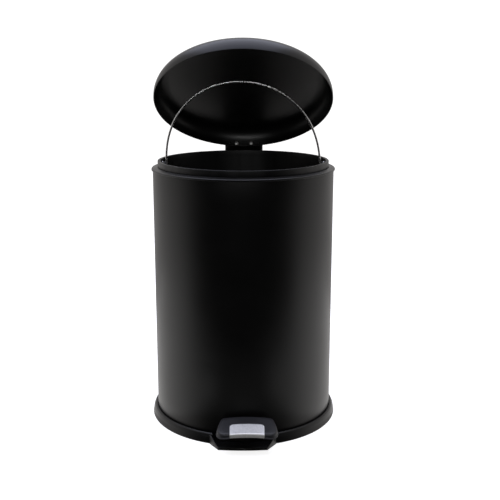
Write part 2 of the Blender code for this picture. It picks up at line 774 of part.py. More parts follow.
def arm_inner_side():
    """Closes the clearance solid below the lid's rim."""
    return [(LID_RADIUS + GAP, LID_Z - 0.004), (0, LID_Z - 0.004)]


def crank_pin(empty):
    place = crank_end()
    half = CRANK_X + CRANK_THICKNESS / 2 + GAP
    head = CRANK_PIN_RADIUS + 0.0014
    top = half + 0.0014
    profile = [(0, top), (head - GAP, top), (head, top - GAP), (head, half)]
    profile += [(CRANK_PIN_RADIUS, half)]
    profile += [(r, -z) for r, z in reversed(profile)]
    pin = turned("crank_pin", profile, "zinc_steel", steps=SMALL_STEPS)
    pin.parent = empty
    pin.location = Vector((0, *place)) - HINGE
    pin.rotation_euler = (0, math.pi / 2, 0)


def housing_outline(inset=0.0):
    """The hinge cover's side view, (y, z), clockwise from the bottom at the shell."""
    back = HINGE_Y + HOUSING_ROOM - inset
    foot = SHELL_RADIUS + HOUSING_FOOT_REACH - inset
    start = SHELL_RADIUS - 0.012
    low = HOUSING_BOTTOM + inset
    bend = HOUSING_BEND_Z + inset * 0.4
    return [(start, low), (foot, low), (back, bend), (back, HOUSING_TOP), (start, HOUSING_TOP)]


def housing_screw_point(sign, radius):
    """A point on the line of one of the two screws at the cover's foot."""
    angle = HOUSING_SCREW_ANGLE * sign
    return (radius * math.sin(angle), radius * math.cos(angle), HOUSING_BOTTOM + 0.0072)


def hinge_housing():
    half = HOUSING_HALF_WIDTH
    cover = prism("hinge_housing", housing_outline(), -half, half, "black_plastic")
    soften(cover, 0.004, segments=3)
    inside = housing_outline(HOUSING_WALL)
    inside = inside[:3] + [(y, z + 0.004) for y, z in inside[3:]]
    hollow = prism("housing_hollow", inside, -half + HOUSING_WALL, half - HOUSING_WALL)
    cut(cover, hollow)
    top = HOUSING_TOP + 0.006
    side = [
        (0, top),
        (COLLAR_RADIUS + GAP, top),
        (COLLAR_RADIUS + GAP, COLLAR_BOTTOM - GAP),
        (SHELL_RADIUS + FACE_PLAY, COLLAR_BOTTOM - GAP),
        (SHELL_RADIUS + FACE_PLAY, HOUSING_BOTTOM - 0.01),
        (0, HOUSING_BOTTOM - 0.01),
    ]
    foot = box(
        "housing_foot_join",
        (-half + 0.001, SHELL_RADIUS - 0.010, HOUSING_BOTTOM + 0.0015),
        (half - 0.001, HOUSING_SEAT_RADIUS, HOUSING_BOTTOM + 0.0130),
    )
    join(cover, foot)
    cut(cover, turned("shell_clearance", side))
    reach = half + EPS
    bore = HINGE_PIN_RADIUS + BORE_PLAY
    axis = [(x, HINGE_Y, HINGE_Z) for x in (-reach, reach)]
    cut(cover, rod_between("housing_bore", *axis, bore))
    for name, sign in (("left", -1), ("right", 1)):
        hole = rod_between(
            f"housing_screw_hole_{name}",
            housing_screw_point(sign, SHELL_RADIUS - 0.004),
            housing_screw_point(sign, SHELL_RADIUS + 0.030),
            SCREW_HOLE_RADIUS,
        )
        seat = rod_between(
            f"housing_screw_seat_{name}",
            housing_screw_point(sign, HOUSING_SEAT_RADIUS - 0.0002),
            housing_screw_point(sign, SHELL_RADIUS + 0.030),
            SCREW_HEAD_RADIUS + RUN,
        )
        cut(cover, hole, seat)


def hinge_pin():
    half = HOUSING_HALF_WIDTH + 0.002
    rod_between(
        "hinge_pin", (-half, HINGE_Y, HINGE_Z), (half, HINGE_Y, HINGE_Z), HINGE_PIN_RADIUS, "zinc_steel"
    )
    depth = 0.0024
    for side, sign in (("left", -1), ("right", 1)):
        outer = HINGE_PIN_RADIUS + 0.003
        bore = HINGE_PIN_RADIUS + BORE_PLAY
        profile = [(0, 0.0040), (outer - 0.001, 0.0040), (outer, 0.0030), (outer, 0)]
        profile += [(bore, 0), (bore, depth), (0, depth)]
        cap = turned(f"hinge_pin_cap_{side}", profile, "black_plastic", steps=SMALL_STEPS)
        cap.location = (sign * (HOUSING_HALF_WIDTH + GAP), HINGE_Y, HINGE_Z)
        cap.rotation_euler = (0, sign * math.pi / 2, 0)


def screw_profile(length):
    """A pan head above its seat and a plain shank below."""
    head = SCREW_HEAD_RADIUS
    profile = [(0, 0.0023), (head - 0.0011, 0.0023), (head, 0.0013), (head, 0)]
    return profile + [(SCREW_RADIUS, 0), (SCREW_RADIUS, -length), (0, -length)]


def housing_screws():
    depth = HOUSING_SEAT_RADIUS - SHELL_RADIUS + 0.0016
    for side, sign in (("left", -1), ("right", 1)):
        profile = screw_profile(depth)
        screw = turned(f"housing_screw_{side}", profile, "zinc_steel", steps=SMALL_STEPS)
        screw.location = housing_screw_point(sign, HOUSING_SEAT_RADIUS + GAP)
        screw.rotation_euler = (-math.pi / 2, 0, -HOUSING_SCREW_ANGLE * sign)


def push_rod(empty):
    """A bent round rod, from under the lever up to the eye round the crank pin."""
    low, high = rod_joggle()
    y_out = CRANK_PIN.y
    end = LEVER_Z - LEVER_THICKNESS / 2 - 0.0036
    top = CRANK_PIN.z - CRANK_PIN_RADIUS - EYE_PLAY / 2 - EYE_WALL + 0.0012
    path = [Vector((0, ROD_INSIDE_Y, end)), Vector((0, ROD_INSIDE_Y, low))]
    path += [Vector((0, y_out, high)), Vector((0, y_out, top))]
    path = rounded_path(path, ROD_BEND_RADIUS)
    wire = bpy.data.curves.new("push_rod_wire", "CURVE")
    wire.dimensions = "3D"
    wire.bevel_depth = ROD_RADIUS
    wire.bevel_resolution = 3
    wire.use_fill_caps = True
    spline = wire.splines.new("POLY")
    spline.points.add(len(path) - 1)
    for point, place in zip(spline.points, path):
        point.co = (*place, 1)
    rod = curve_to_mesh("push_rod", wire, "zinc_steel")
    hang(rod, empty)
    reach = CRANK_LENGTH * (1 - math.cos(LID_OPENING))
    slot_low = (y_out - 0.0002, CRANK_PIN.z - EYE_PLAY / 2)
    slot_high = (y_out + reach + 0.0002, CRANK_PIN.z - EYE_PLAY / 2)
    hole = CRANK_PIN_RADIUS + BORE_PLAY
    outer = slot_outline(slot_low, slot_high, hole + EYE_WALL, EYE_PLAY)
    inner = slot_outline(slot_low, slot_high, hole, EYE_PLAY)
    half = EYE_THICKNESS / 2
    join(rod, prism("rod_eye_join", outer, -half, half))
    cut(rod, prism("rod_eye_slot", inner, -half - EPS, half + EPS))


def slot_outline(low, high, radius, play, steps=6):
    """A round-cornered slot between two places at one height, taller by play."""
    (y0, z0), (y1, _) = low, high
    z1 = z0 + play
    corners = (((y1, z0), -90), ((y1, z1), 0), ((y0, z1), 90), ((y0, z0), 180))
    points = []
    for centre, start in corners:
        points += arc(centre, radius, start, start + 90, steps)
    return points


def rounded_path(corners, radius, steps=5):
    """A bent line with its inner corners rounded."""
    points = [corners[0]]
    for before, corner, after in zip(corners, corners[1:], corners[2:]):
        back = (before - corner).normalized()
        ahead = (after - corner).normalized()
        start = corner + back * radius
        end = corner + ahead * radius
        for i in range(steps + 1):
            t = i / steps
            points.append(start * (1 - t) ** 2 + corner * 2 * t * (1 - t) + end * t**2)
    return points + [corners[-1]]


def curve_to_mesh(name, wire, material):
    """A wire as a closed mesh, so that it can be joined and cut."""
    holder = bpy.data.objects.new(name + "_guide", wire)
    CAN.objects.link(holder)
    graph = bpy.context.evaluated_depsgraph_get()
    mesh = bpy.data.meshes.new_from_object(holder.evaluated_get(graph))
    bpy.data.objects.remove(holder)
    bm = bmesh.new()
    bm.from_mesh(mesh)
    bmesh.ops.remove_doubles(bm, verts=bm.verts, dist=0.00001)
    return from_bmesh(name, bm, material)


def ring_on_rod(name, low, height, empty):
    bore = ROD_RADIUS + BORE_PLAY
    outer = bore + 0.0025
    profile = [
        (bore, low + height),
        (outer - 0.0005, low + height),
        (outer, low + height - 0.0005),
        (outer, low),
        (bore, low),
    ]
    ring = turned(name, profile, "zinc_steel", steps=SMALL_STEPS, closed=True)
    ring.parent = empty
    ring.location = Vector((0, ROD_INSIDE_Y, 0)) - empty.location


def rod_guides():
    half = GUIDE_HALF_WIDTH
    for name, low in (("rod_guide_lower", GUIDE_LOW), ("rod_guide_upper", SHELL_TOP - GUIDE_DROP)):
        high = low + GUIDE_HEIGHT
        back = math.sqrt(SHELL_INNER**2 - half**2) - GAP
        front = ROD_INSIDE_Y - ROD_RADIUS - 0.0022
        block = box(name, (-half, front, low), (half, back, high), "black_plastic")
        soften(block, 0.0008)
        bore = rod_between(
            f"{name}_bore",
            (0, ROD_INSIDE_Y, low - EPS),
            (0, ROD_INSIDE_Y, high + EPS),
            ROD_RADIUS + 0.0005,
        )
        cut(block, bore)


def lever_outline():
    """The bar's side view: level inside the can, rising in front of it, then under the pedal."""
    half = LEVER_THICKNESS / 2
    front_z = pedal_height(0, FOOT_Y) - PEDAL_STACK
    crest_y = PEDAL_REAR_Y - 0.0045
    crest_z = front_z + (crest_y - FOOT_Y) * math.tan(PEDAL_SLOPE)
    line = [
        Vector((ROD_INSIDE_Y + 0.0055, LEVER_Z)),
        Vector((-SHELL_RADIUS - 0.0012, LEVER_Z)),
        Vector((crest_y, crest_z)),
        Vector((FOOT_Y, front_z)),
    ]
    upper, lower = [], []
    for i, point in enumerate(line):
        before = line[max(i - 1, 0)]
        after = line[min(i + 1, len(line) - 1)]
        heading = ((point - before).normalized() + (after - point).normalized()).normalized()
        first = (after - point) if i == 0 else (point - before)
        normal = Vector((heading.y, -heading.x))
        stretch = half / max(abs(normal.dot(Vector((first.y, -first.x)).normalized())), 0.5)
        upper.append(tuple(point + normal * stretch))
        lower.append(tuple(point - normal * stretch))
    return upper + lower[::-1]


def lever(empty):
    bar = prism("lever", lever_outline(), -LEVER_HALF_WIDTH, LEVER_HALF_WIDTH, "zinc_steel")
    hang(bar, empty)
    sleeve_radius = AXLE_RADIUS + SLEEVE_WALL
    reach = BRACKET_X - BRACKET_THICKNESS / 2 - RUN
    sleeve = rod_between("sleeve_join", (-reach, *PIVOT.yz), (reach, *PIVOT.yz), sleeve_radius)
    join(bar, sleeve, foot_plate())
    reach += EPS
    axis = [(x, *PIVOT.yz) for x in (-reach, reach)]
    bore = rod_between("sleeve_bore", *axis, AXLE_RADIUS + BORE_PLAY)
    cut(bar, bore, lever_rod_slot())
    for name, x in pedal_screw_places():
        ends = [(x, PEDAL_SCREW_Y, z) for z in (LEVER_Z - 0.004, PEDAL_REAR_Z + 0.01)]
        cut(bar, rod_between(f"lever_hole_{name}", *ends, SCREW_HOLE_RADIUS))


def foot_plate():
    """The wide end of the lever that the pedal is screwed to."""
    low = pedal_height(0, FOOT_Y) - PEDAL_STACK - LEVER_THICKNESS / 2
    rear = low + FOOT_LENGTH * math.tan(PEDAL_SLOPE)
    outline = [
        (FOOT_Y, low + LEVER_THICKNESS),
        (FOOT_Y + FOOT_LENGTH, rear + LEVER_THICKNESS),
        (FOOT_Y + FOOT_LENGTH, rear),
        (FOOT_Y, low),
    ]
    return prism("foot_plate_join", outline, PEDAL_X - FOOT_HALF_WIDTH, PEDAL_X + FOOT_HALF_WIDTH)


def lever_rod_slot():
    """The slot in the lever's rear end, long enough for the rod to stay upright."""
    radius = ROD_RADIUS + 0.0007
    half_length = 0.0015
    outline = arc((0, ROD_INSIDE_Y + half_length), radius, 0, 180, 10)
    outline += arc((0, ROD_INSIDE_Y - half_length), radius, 180, 360, 10)
    depth = LEVER_THICKNESS / 2 + 0.008
    return prism("lever_rod_slot", outline, LEVER_Z - depth, LEVER_Z + depth, axis="Z")


def pedal_screw_places():
    return (("left", PEDAL_X - PEDAL_SCREW_SPREAD), ("right", PEDAL_X + PEDAL_SCREW_SPREAD))


def pedal_height(x, y):
    """The pedal's upper surface: a slope to the front, crowned from side to side."""
    crown = x * x / (2 * PEDAL_CROWN_RADIUS)
    return PEDAL_REAR_Z - (PEDAL_REAR_Y - y) * math.tan(PEDAL_SLOPE) - crown


def pedal_plan(inset=0.0):
    """The pedal's plan, (x, y) from its own centre line, anticlockwise from the front left."""
    front = PEDAL_FRONT_Y + inset
    rear = PEDAL_REAR_Y - inset
    corner = PEDAL_CORNER - inset
    rear_corner = PEDAL_REAR_CORNER - inset * 0.5
    wide = PEDAL_HALF_WIDTH - inset
    narrow = PEDAL_REAR_HALF_WIDTH - inset
    lean = math.degrees(math.atan2(wide - narrow, 0.5 * PEDAL_DEPTH))
    right = [(0.35 * wide, front)]
    right += arc((wide - corner, front + corner), corner, -90, 0, 7)
    right += arc((narrow - rear_corner, rear - rear_corner), rear_corner, lean, 90, 5)
    right += [(0.35 * wide, rear)]
    return right + [(-x, y) for x, y in reversed(right)]


def bridge(bm, outer, inner):
    """Faces between two rings with the same number of points."""
    count = len(outer)
    for i in range(count):
        j = (i + 1) % count
        bm.faces.new((outer[i], outer[j], inner[j], inner[i]))


def tread_surface(bm, rings, drop):
    """One side of the tread: rings of (inset, drop), then the top. Returns the lowest ring."""
    centre_y = (PEDAL_FRONT_Y + PEDAL_REAR_Y) / 2
    loops = []
    for inset, down in rings:
        plan = pedal_plan(inset)
        loops.append([bm.verts.new((x, y, pedal_height(x, y) - down)) for x, y in plan])
    for share in (0.66, 0.33):
        loop = []
        for x, y in pedal_plan(rings[-1][0]):
            x, y = x * share, centre_y + (y - centre_y) * share
            loop.append(bm.verts.new((x, y, pedal_height(x, y) - drop)))
        loops.append(loop)
    for outer, inner in zip(loops, loops[1:]):
        bridge(bm, outer, inner)
    middle = bm.verts.new((0, centre_y, pedal_height(0, centre_y) - drop))
    last = loops[-1]
    for i in range(len(last)):
        bm.faces.new((last[i], last[(i + 1) % len(last)], middle))
    return loops[0]


def pedal(empty):
    """A hollow tread: crowned top, rounded edge and a skirt, open underneath."""
    bm = bmesh.new()
    outside = [(0.0, PEDAL_SKIRT), (0.0, 0.0022), (0.0007, 0.0007), (0.0022, 0.0)]
    inside = [(PEDAL_WALL, PEDAL_SKIRT), (PEDAL_WALL, PEDAL_WALL)]
    rims = [tread_surface(bm, outside, 0.0), tread_surface(bm, inside, PEDAL_WALL)]
    bridge(bm, *rims)
    bmesh.ops.translate(bm, verts=bm.verts, vec=(PEDAL_X, 0, 0))
    tread = from_bmesh("pedal", bm, "pedal_plastic")
    hang(tread, empty)
    rear_notch = box(
        "pedal_rear_notch",
        (PEDAL_X - FOOT_HALF_WIDTH - 0.002, PEDAL_REAR_Y - 0.0035, 0.020),
        (PEDAL_X + FOOT_HALF_WIDTH + 0.002, PEDAL_REAR_Y + 0.004, PEDAL_REAR_Z - 0.0036),
    )
    bosses = []
    holes = []
    for name, x in pedal_screw_places():
        y = PEDAL_SCREW_Y
        under = pedal_height(x - PEDAL_X, y) - PEDAL_WALL
        lever_top = pedal_height(0, y) - PEDAL_STACK + LEVER_THICKNESS / 2
        low = lever_top + 0.0018
        bosses.append(rod_between(f"boss_join_{name}", (x, y, low), (x, y, under + 0.0008), 0.0035))
        holes.append(rod_between(f"boss_hole_{name}", (x, y, low - 0.002), (x, y, under), 0.0017))
    cut(tread, rear_notch)
    join(tread, *bosses)
    cut(tread, *holes)


def pedal_plate(empty):
    """The steel tread plate, laid on the top and folded down over the front."""
    rear = PEDAL_FRONT_Y + PLATE_DEPTH
    steps = [0, 0.0003, 0.0011, 0.0024, PLATE_CORNER]
    steps += [PLATE_CORNER + (PLATE_DEPTH - PLATE_CORNER - 0.001) * i / 4 for i in range(1, 5)]
    rows = []
    lift = GAP
    for s in steps:
        left = max(PLATE_CORNER - s, 0)
        half = PLATE_HALF_WIDTH - PLATE_CORNER + math.sqrt(PLATE_CORNER**2 - left**2)
        rows.append((rear - s, lift, half))
    fold_y = PEDAL_FRONT_Y + 0.001
    for degrees in (30, 60, 90):
        a = math.radians(degrees)
        y = fold_y - PLATE_FOLD * math.sin(a) * 0.8
        rows.append((y, lift - PLATE_FOLD * (1 - math.cos(a)), PLATE_HALF_WIDTH))
    front = rows[-1][0]
    rows.append((front, lift - PLATE_LIP, PLATE_HALF_WIDTH))
    bm = bmesh.new()
    columns = 8
    grid = []
    for y, rise, half in rows:
        line = []
        for i in range(columns + 1):
            x = half * (2 * i / columns - 1)
            line.append(bm.verts.new((PEDAL_X + x, y, pedal_height(x, max(y, fold_y)) + rise)))
        grid.append(line)
    for first, second in zip(grid, grid[1:]):
        for i in range(columns):
            bm.faces.new((first[i], second[i], second[i + 1], first[i + 1]))
    plate = from_bmesh("pedal_plate", bm, "stainless_steel", 50)
    hang(plate, empty)
    sheet = plate.modifiers.new("Sheet", "SOLIDIFY")
    sheet.thickness = PLATE_THICKNESS
    sheet.offset = 1


def pedal_screws(empty):
    for name, x in pedal_screw_places():
        under = pedal_height(0, PEDAL_SCREW_Y) - PEDAL_STACK - LEVER_THICKNESS / 2 - 0.0012
        tip = LEVER_THICKNESS + 0.0037
        profile = [(0, tip), (0.0013, tip), (0.0013, 0), (0.0032, 0)]
        profile += [(0.0032, -0.0010), (0.0022, -0.0020), (0, -0.0020)]
        screw = turned(f"pedal_screw_{name}", profile, "zinc_steel", steps=SMALL_STEPS)
        screw.parent = empty
        screw.location = Vector((x, PEDAL_SCREW_Y, under)) - empty.location


def lever_axle():
    rod_between(
        "lever_axle",
        (-AXLE_HALF_LENGTH, *PIVOT.yz),
        (AXLE_HALF_LENGTH, *PIVOT.yz),
        AXLE_RADIUS,
        "zinc_steel",
    )
    for side, sign in (("left", -1), ("right", 1)):
        bore = AXLE_RADIUS + BORE_PLAY
        profile = [(bore, 0.0010), (bore + 0.003, 0.0010), (bore + 0.003, 0), (bore, 0)]
        clip = turned(f"axle_clip_{side}", profile, "zinc_steel", steps=SMALL_STEPS, closed=True)
        clip.location = (sign * (BRACKET_X + BRACKET_THICKNESS / 2 + GAP), PIVOT_Y, PIVOT_Z)
        clip.rotation_euler = (0, sign * math.pi / 2, 0)


def pivot_brackets():
    """Two bent brackets on the floor of the base that carry the axle."""
    for side, sign in (("left", -1), ("right", 1)):
        low = BASE_FLOOR + GAP
        half = 0.012
        ear = arc((PIVOT_Y, PIVOT_Z), AXLE_RADIUS + 0.0045, 0, 180, 12)
        outline = ear + [(PIVOT_Y - half, low), (PIVOT_Y + half, low)]
        inner = sign * (BRACKET_X - BRACKET_THICKNESS / 2)
        outer = sign * (BRACKET_X + BRACKET_THICKNESS / 2)
        bracket = prism(f"pivot_bracket_{side}", outline, *sorted((inner, outer)), "zinc_steel")
        ends = sorted((sign * BRACKET_X, sign * (BRACKET_X + FLANGE_REACH)))
        flange = box(
            f"flange_join_{side}",
            (ends[0], PIVOT_Y - half, low),
            (ends[1], PIVOT_Y + half, low + FLANGE_THICKNESS),
        )
        join(bracket, flange)
        bore = rod_between(
            f"bracket_bore_{side}",
            (sign * (BRACKET_X - 0.01), *PIVOT.yz),
            (sign * (BRACKET_X + 0.01), *PIVOT.yz),
            AXLE_RADIUS + BORE_PLAY,
        )
        x = sign * (BRACKET_X + BRACKET_SCREW_REACH)
        hole = rod_between(
            f"bracket_hole_{side}",
            (x, PIVOT_Y, low - EPS),
            (x, PIVOT_Y, low + 0.004),
            SCREW_HOLE_RADIUS,
        )
        cut(bracket, bore, hole)
        profile = screw_profile(0.0040)
        screw = turned(f"bracket_screw_{side}", profile, "zinc_steel", steps=SMALL_STEPS)
        screw.location = (x, PIVOT_Y, low + FLANGE_THICKNESS + GAP)


def build_body():
    steel_shell()
    base_pan()
    foot_pads()
    top_collar()
    bucket()
    bail_lugs()
    hinge_housing()
    hinge_pin()
    housing_screws()
    rod_guides()
    lever_axle()
    pivot_brackets()


def build_lid():
    axis = pivot_empty("lid_axis", HINGE, -LID_OPENING)
    lid(axis)
    hinge_arm(axis)
    lid_fasteners(axis)
    crank_pin(axis)


def build_rod():
    line = pivot_empty("rod_line", Vector((0, ROD_INSIDE_Y, 0)))
    push_rod(line)
    top = LEVER_Z + LEVER_THICKNESS / 2
    bottom = LEVER_Z - LEVER_THICKNESS / 2
    ring_on_rod("rod_stop_collar", top + RUN, 0.005, line)
    ring_on_rod("rod_end_clip", bottom - RUN - 0.0018, 0.0018, line)


def build_pedal():
    axis = pivot_empty("pedal_axis", PIVOT)
    lever(axis)
    pedal(axis)
    pedal_plate(axis)
    pedal_screws(axis)


def build_bail():
    bail(pivot_empty("bail_axis", Vector((0, 0, BAIL_PIVOT_Z))))


clear_scene()
CAN = new_collection("pedal_trash_can")
CUTTERS = new_collection("cutters")
build_body()
build_lid()
build_rod()
build_pedal()
build_bail()
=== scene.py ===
"""Pedal trash can: fine meshes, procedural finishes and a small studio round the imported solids.

Metres, +Z up, the can's front faces -Y and its axis stands at the origin.
"""

import json
import math

import bmesh
import bpy
from bpy.props import FloatProperty, FloatVectorProperty, IntProperty, PointerProperty
from mathutils import Matrix, Vector


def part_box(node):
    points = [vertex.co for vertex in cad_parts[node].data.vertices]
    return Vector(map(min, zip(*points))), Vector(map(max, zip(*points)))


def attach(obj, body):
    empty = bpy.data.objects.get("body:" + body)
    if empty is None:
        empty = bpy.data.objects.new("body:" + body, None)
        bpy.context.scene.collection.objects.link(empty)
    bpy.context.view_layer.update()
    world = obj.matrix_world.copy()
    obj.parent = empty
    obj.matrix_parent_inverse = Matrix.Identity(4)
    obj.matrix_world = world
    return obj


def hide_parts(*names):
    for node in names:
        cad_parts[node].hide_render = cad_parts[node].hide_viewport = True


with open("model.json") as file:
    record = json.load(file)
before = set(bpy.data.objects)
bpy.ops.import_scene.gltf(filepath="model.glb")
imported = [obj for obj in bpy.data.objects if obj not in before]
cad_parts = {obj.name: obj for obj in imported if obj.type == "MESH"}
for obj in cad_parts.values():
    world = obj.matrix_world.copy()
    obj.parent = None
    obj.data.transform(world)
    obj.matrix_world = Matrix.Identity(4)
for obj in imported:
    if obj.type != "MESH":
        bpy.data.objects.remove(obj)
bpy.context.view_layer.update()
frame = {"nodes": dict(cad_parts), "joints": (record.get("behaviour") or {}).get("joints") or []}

bl_info = {
    "name": "Pedal trash can",
    "version": (1, 0, 0),
    "blender": (4, 5, 0),
    "location": "3D View > Sidebar > Trash can",
    "description": "Builds a round pedal trash can piece by piece, with its finishes and a studio",
    "category": "Object",
}


def low(node):
    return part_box(node)[0]


def high(node):
    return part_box(node)[1]


# Clearances, and how finely round pieces are divided
NARROW = 0.0003
FIT = 0.0004
ROUND_STEPS = 192
SMALL_STEPS = 36
SMOOTH_ANGLE = 35
WELD = 0.000005
SIDES = (("left", -1), ("right", 1))
PAD_NUMBERS = range(1, 5)

# Places and sizes of the solids that the fine pieces follow
JOINTS = {joint["name"]: joint for joint in frame["joints"]}
LID_JOINT = JOINTS["lid_hinge"]
PEDAL_JOINT = JOINTS["pedal_pivot"]
HINGE = Vector(LID_JOINT["pos_m"])
PIVOT = Vector(PEDAL_JOINT["pos_m"])
BAIL_PIVOT = Vector(JOINTS["bail_swing"]["pos_m"])
OPENING = math.radians(-LID_JOINT["range_deg"][0])
LEVER_SWING = math.radians(PEDAL_JOINT["range_deg"][1])
CRANK_PLACE = (low("crank_pin") + high("crank_pin")) / 2
CRANK_LENGTH = (CRANK_PLACE - HINGE).length

SHELL_RADIUS = high("outer_shell").x
SHELL_TOP = high("outer_shell").z
SHELL_FOOT = low("outer_shell").z
RING_RADIUS = high("base_pan").x
SPIGOT_TOP = high("base_pan").z
COLLAR_RADIUS = high("top_collar").x
COLLAR_TOP = high("top_collar").z
COLLAR_FOOT = low("top_collar").z
RIM_RADIUS = high("bucket").x
RIM_TOP = high("bucket").z
BUCKET_FOOT = low("bucket").z
LID_RADIUS = high("lid").x - NARROW
PAD_RADIUS = (high("foot_pad_1").x - low("foot_pad_1").x) / 2
PAD_HEIGHT = high("foot_pad_1").z
HOUSING_HALF_WIDTH = high("hinge_housing").x
HOUSING_BACK = high("hinge_housing").y
HOUSING_TOP = high("hinge_housing").z
HOUSING_FOOT = low("hinge_housing").z
ARM_HALF_WIDTH = high("hinge_arm").x
PEDAL_LOW = low("pedal")
PEDAL_HIGH = high("pedal")
PEDAL_X = (PEDAL_LOW.x + PEDAL_HIGH.x) / 2
PEDAL_HALF_WIDTH = (PEDAL_HIGH.x - PEDAL_LOW.x) / 2
PEDAL_DEPTH = PEDAL_HIGH.y - PEDAL_LOW.y
ROD_Y = (low("rod_stop_collar").y + high("rod_stop_collar").y) / 2
LEVER_Z = (low("rod_stop_collar").z + high("rod_end_clip").z) / 2

# Sizes that several fine pieces share: outer radius of what stands inside the shell, inner radius
# of what goes round it, and so on
INSIDE_SHELL = SHELL_RADIUS - 0.0014
SHELL_SEAT = SHELL_RADIUS + 0.0006
LEVER_HALF_WIDTH = 0.010
LEVER_THICKNESS = 0.004
LEVER_ROOM = LEVER_HALF_WIDTH + 0.0025
LEVER_FOOT_HALF = 0.018
SPIGOT_WALL = 0.0022
FLOOR_TOP = 0.003
PIN_BORE = 0.0033
CRANK_BORE = 0.0023
LID_SCREW_X = 0.013
LID_RIVET_X = 0.0255
ROD_RADIUS = 0.002
ROD_STEP_DROP = 0.055
ROD_STEP_HEIGHT = 0.015


class CanSizes(bpy.types.PropertyGroup):
    """Sizes of the pieces that can be changed, within what the solids allow"""

    shell_wall: FloatProperty(
        name="Shell wall", description="Thickness of the rolled steel", default=0.0008, unit="LENGTH"
    )
    seam_width: FloatProperty(
        name="Seam width", description="Groove at the rear where the shell's sheet meets", default=0.0011,
        unit="LENGTH",
    )
    bay_half_width: FloatProperty(
        name="Pedal bay", description="Half the gap in the base ring for the pedal", default=0.0478,
        unit="LENGTH",
    )
    bucket_wall: FloatProperty(
        name="Bucket wall", description="Thickness of the moulded bucket", default=0.0020, unit="LENGTH"
    )
    bucket_taper: FloatProperty(
        name="Bucket taper", description="How much narrower the bucket is at its bottom, on the radius",
        default=0.0115, unit="LENGTH",
    )
    lid_wall: FloatProperty(
        name="Lid wall", description="Thickness of the pressed lid", default=0.0010, unit="LENGTH"
    )
    lid_height: FloatProperty(
        name="Lid height", description="From the lid's edge to its crown", default=0.0440, unit="LENGTH"
    )
    lid_shoulder: FloatProperty(
        name="Lid shoulder", description="Radius between the lid's skirt and its crown", default=0.0300,
        unit="LENGTH",
    )
    lid_skirt: FloatProperty(
        name="Lid skirt", description="Straight height at the lid's edge", default=0.0050, unit="LENGTH"
    )
    wire_radius: FloatProperty(
        name="Bail wire", description="Radius of the bail's wire", default=0.0017, unit="LENGTH"
    )
    bail_power: FloatProperty(
        name="Bail arch", description="Exponent of the arch: 2 is an ellipse, more is squarer", default=2.1
    )
    pedal_slope: FloatProperty(
        name="Pedal slope", description="How far the tread leans to the front", default=math.radians(17.3),
        subtype="ANGLE",
    )
    plate_half_width: FloatProperty(
        name="Tread plate", description="Half the width of the steel plate on the pedal", default=0.0260,
        unit="LENGTH",
    )


class CanFinishes(bpy.types.PropertyGroup):
    """Colours and textures of the can's materials"""

    coat: FloatVectorProperty(
        name="Coat", description="Powder coat of the shell and lid", subtype="COLOR", min=0, max=1,
        default=(0.0013, 0.0012, 0.0012),
    )
    coat_grain: FloatProperty(
        name="Coat grain", description="Height of the coat's fine texture", default=0.000014, unit="LENGTH"
    )
    moulding: FloatVectorProperty(
        name="Moulding", description="Black plastic of the base, collar and hinge", subtype="COLOR",
        min=0, max=1, default=(0.0022, 0.0022, 0.0024),
    )
    bucket: FloatVectorProperty(
        name="Bucket", description="Black plastic of the bucket", subtype="COLOR", min=0, max=1,
        default=(0.0018, 0.0018, 0.0020),
    )
    tread: FloatVectorProperty(
        name="Tread", description="Plastic of the pedal", subtype="COLOR", min=0, max=1,
        default=(0.0180, 0.0185, 0.0220),
    )
    steel: FloatVectorProperty(
        name="Steel", description="Stainless steel of the tread plate and lid screws", subtype="COLOR",
        min=0, max=1, default=(0.93, 0.93, 0.92),
    )
    chrome: FloatVectorProperty(
        name="Chrome", description="Plated wire of the bail", subtype="COLOR", min=0, max=1,
        default=(0.90, 0.90, 0.90),
    )
    zinc: FloatVectorProperty(
        name="Zinc", description="Zinc plate of the lever, rod and pins", subtype="COLOR", min=0, max=1,
        default=(0.50, 0.51, 0.50),
    )
    rubber: FloatVectorProperty(
        name="Rubber", description="Foot pads", subtype="COLOR", min=0, max=1,
        default=(0.020, 0.020, 0.020),
    )


class StudioSettings(bpy.types.PropertyGroup):
    """The camera and lights of the studio"""

    lens: FloatProperty(name="Lens", description="Focal length in millimetres", default=62.3)
    camera_place: FloatVectorProperty(
        name="Camera", description="Where the camera stands", subtype="TRANSLATION", unit="LENGTH",
        default=(0.0109, -1.3874, 0.5945),
    )
    camera_pitch: FloatProperty(
        name="Pitch", description="How far the camera looks down", default=math.radians(12.94),
        subtype="ANGLE",
    )
    low_light: FloatProperty(name="Low lights", description="Brightness beside the can's foot", default=0.44)
    top_light: FloatProperty(name="Top light", description="Brightness of the overhead light", default=2.0)
    front_light: FloatProperty(name="Front light", description="Brightness above the camera", default=8.0)
    room_colour: FloatVectorProperty(
        name="Room", description="Tint of the room that reflections see", subtype="COLOR", min=0, max=1,
        default=(1.0, 0.97, 0.95),
    )
    room_front: FloatProperty(name="Room front", description="Brightness behind the camera", default=0.01)
    room_back: FloatProperty(name="Room back", description="Brightness behind the can", default=0.62)
    dark_to: FloatProperty(name="Dark to", description="Where the dark front starts to fade", default=-0.62)
    bright_from: FloatProperty(name="Bright from", description="Where the bright back is full", default=0.08)
    floor_size: FloatProperty(
        name="Floor", description="Radius of the studio floor", default=6.0, unit="LENGTH"
    )
    floor_glow: FloatProperty(
        name="Floor glow", description="Light that comes up through the floor", default=0.75
    )
    floor_rings: IntProperty(name="Floor rings", description="Rings of the floor's mesh", default=6, min=1)


# Mesh making


def arc(centre, radius, start, end, steps):
    """Points along an arc, angles in degrees, both ends included."""
    angles = [math.radians(start + (end - start) * i / steps) for i in range(steps + 1)]
    return [(centre[0] + radius * math.cos(a), centre[1] + radius * math.sin(a)) for a in angles]


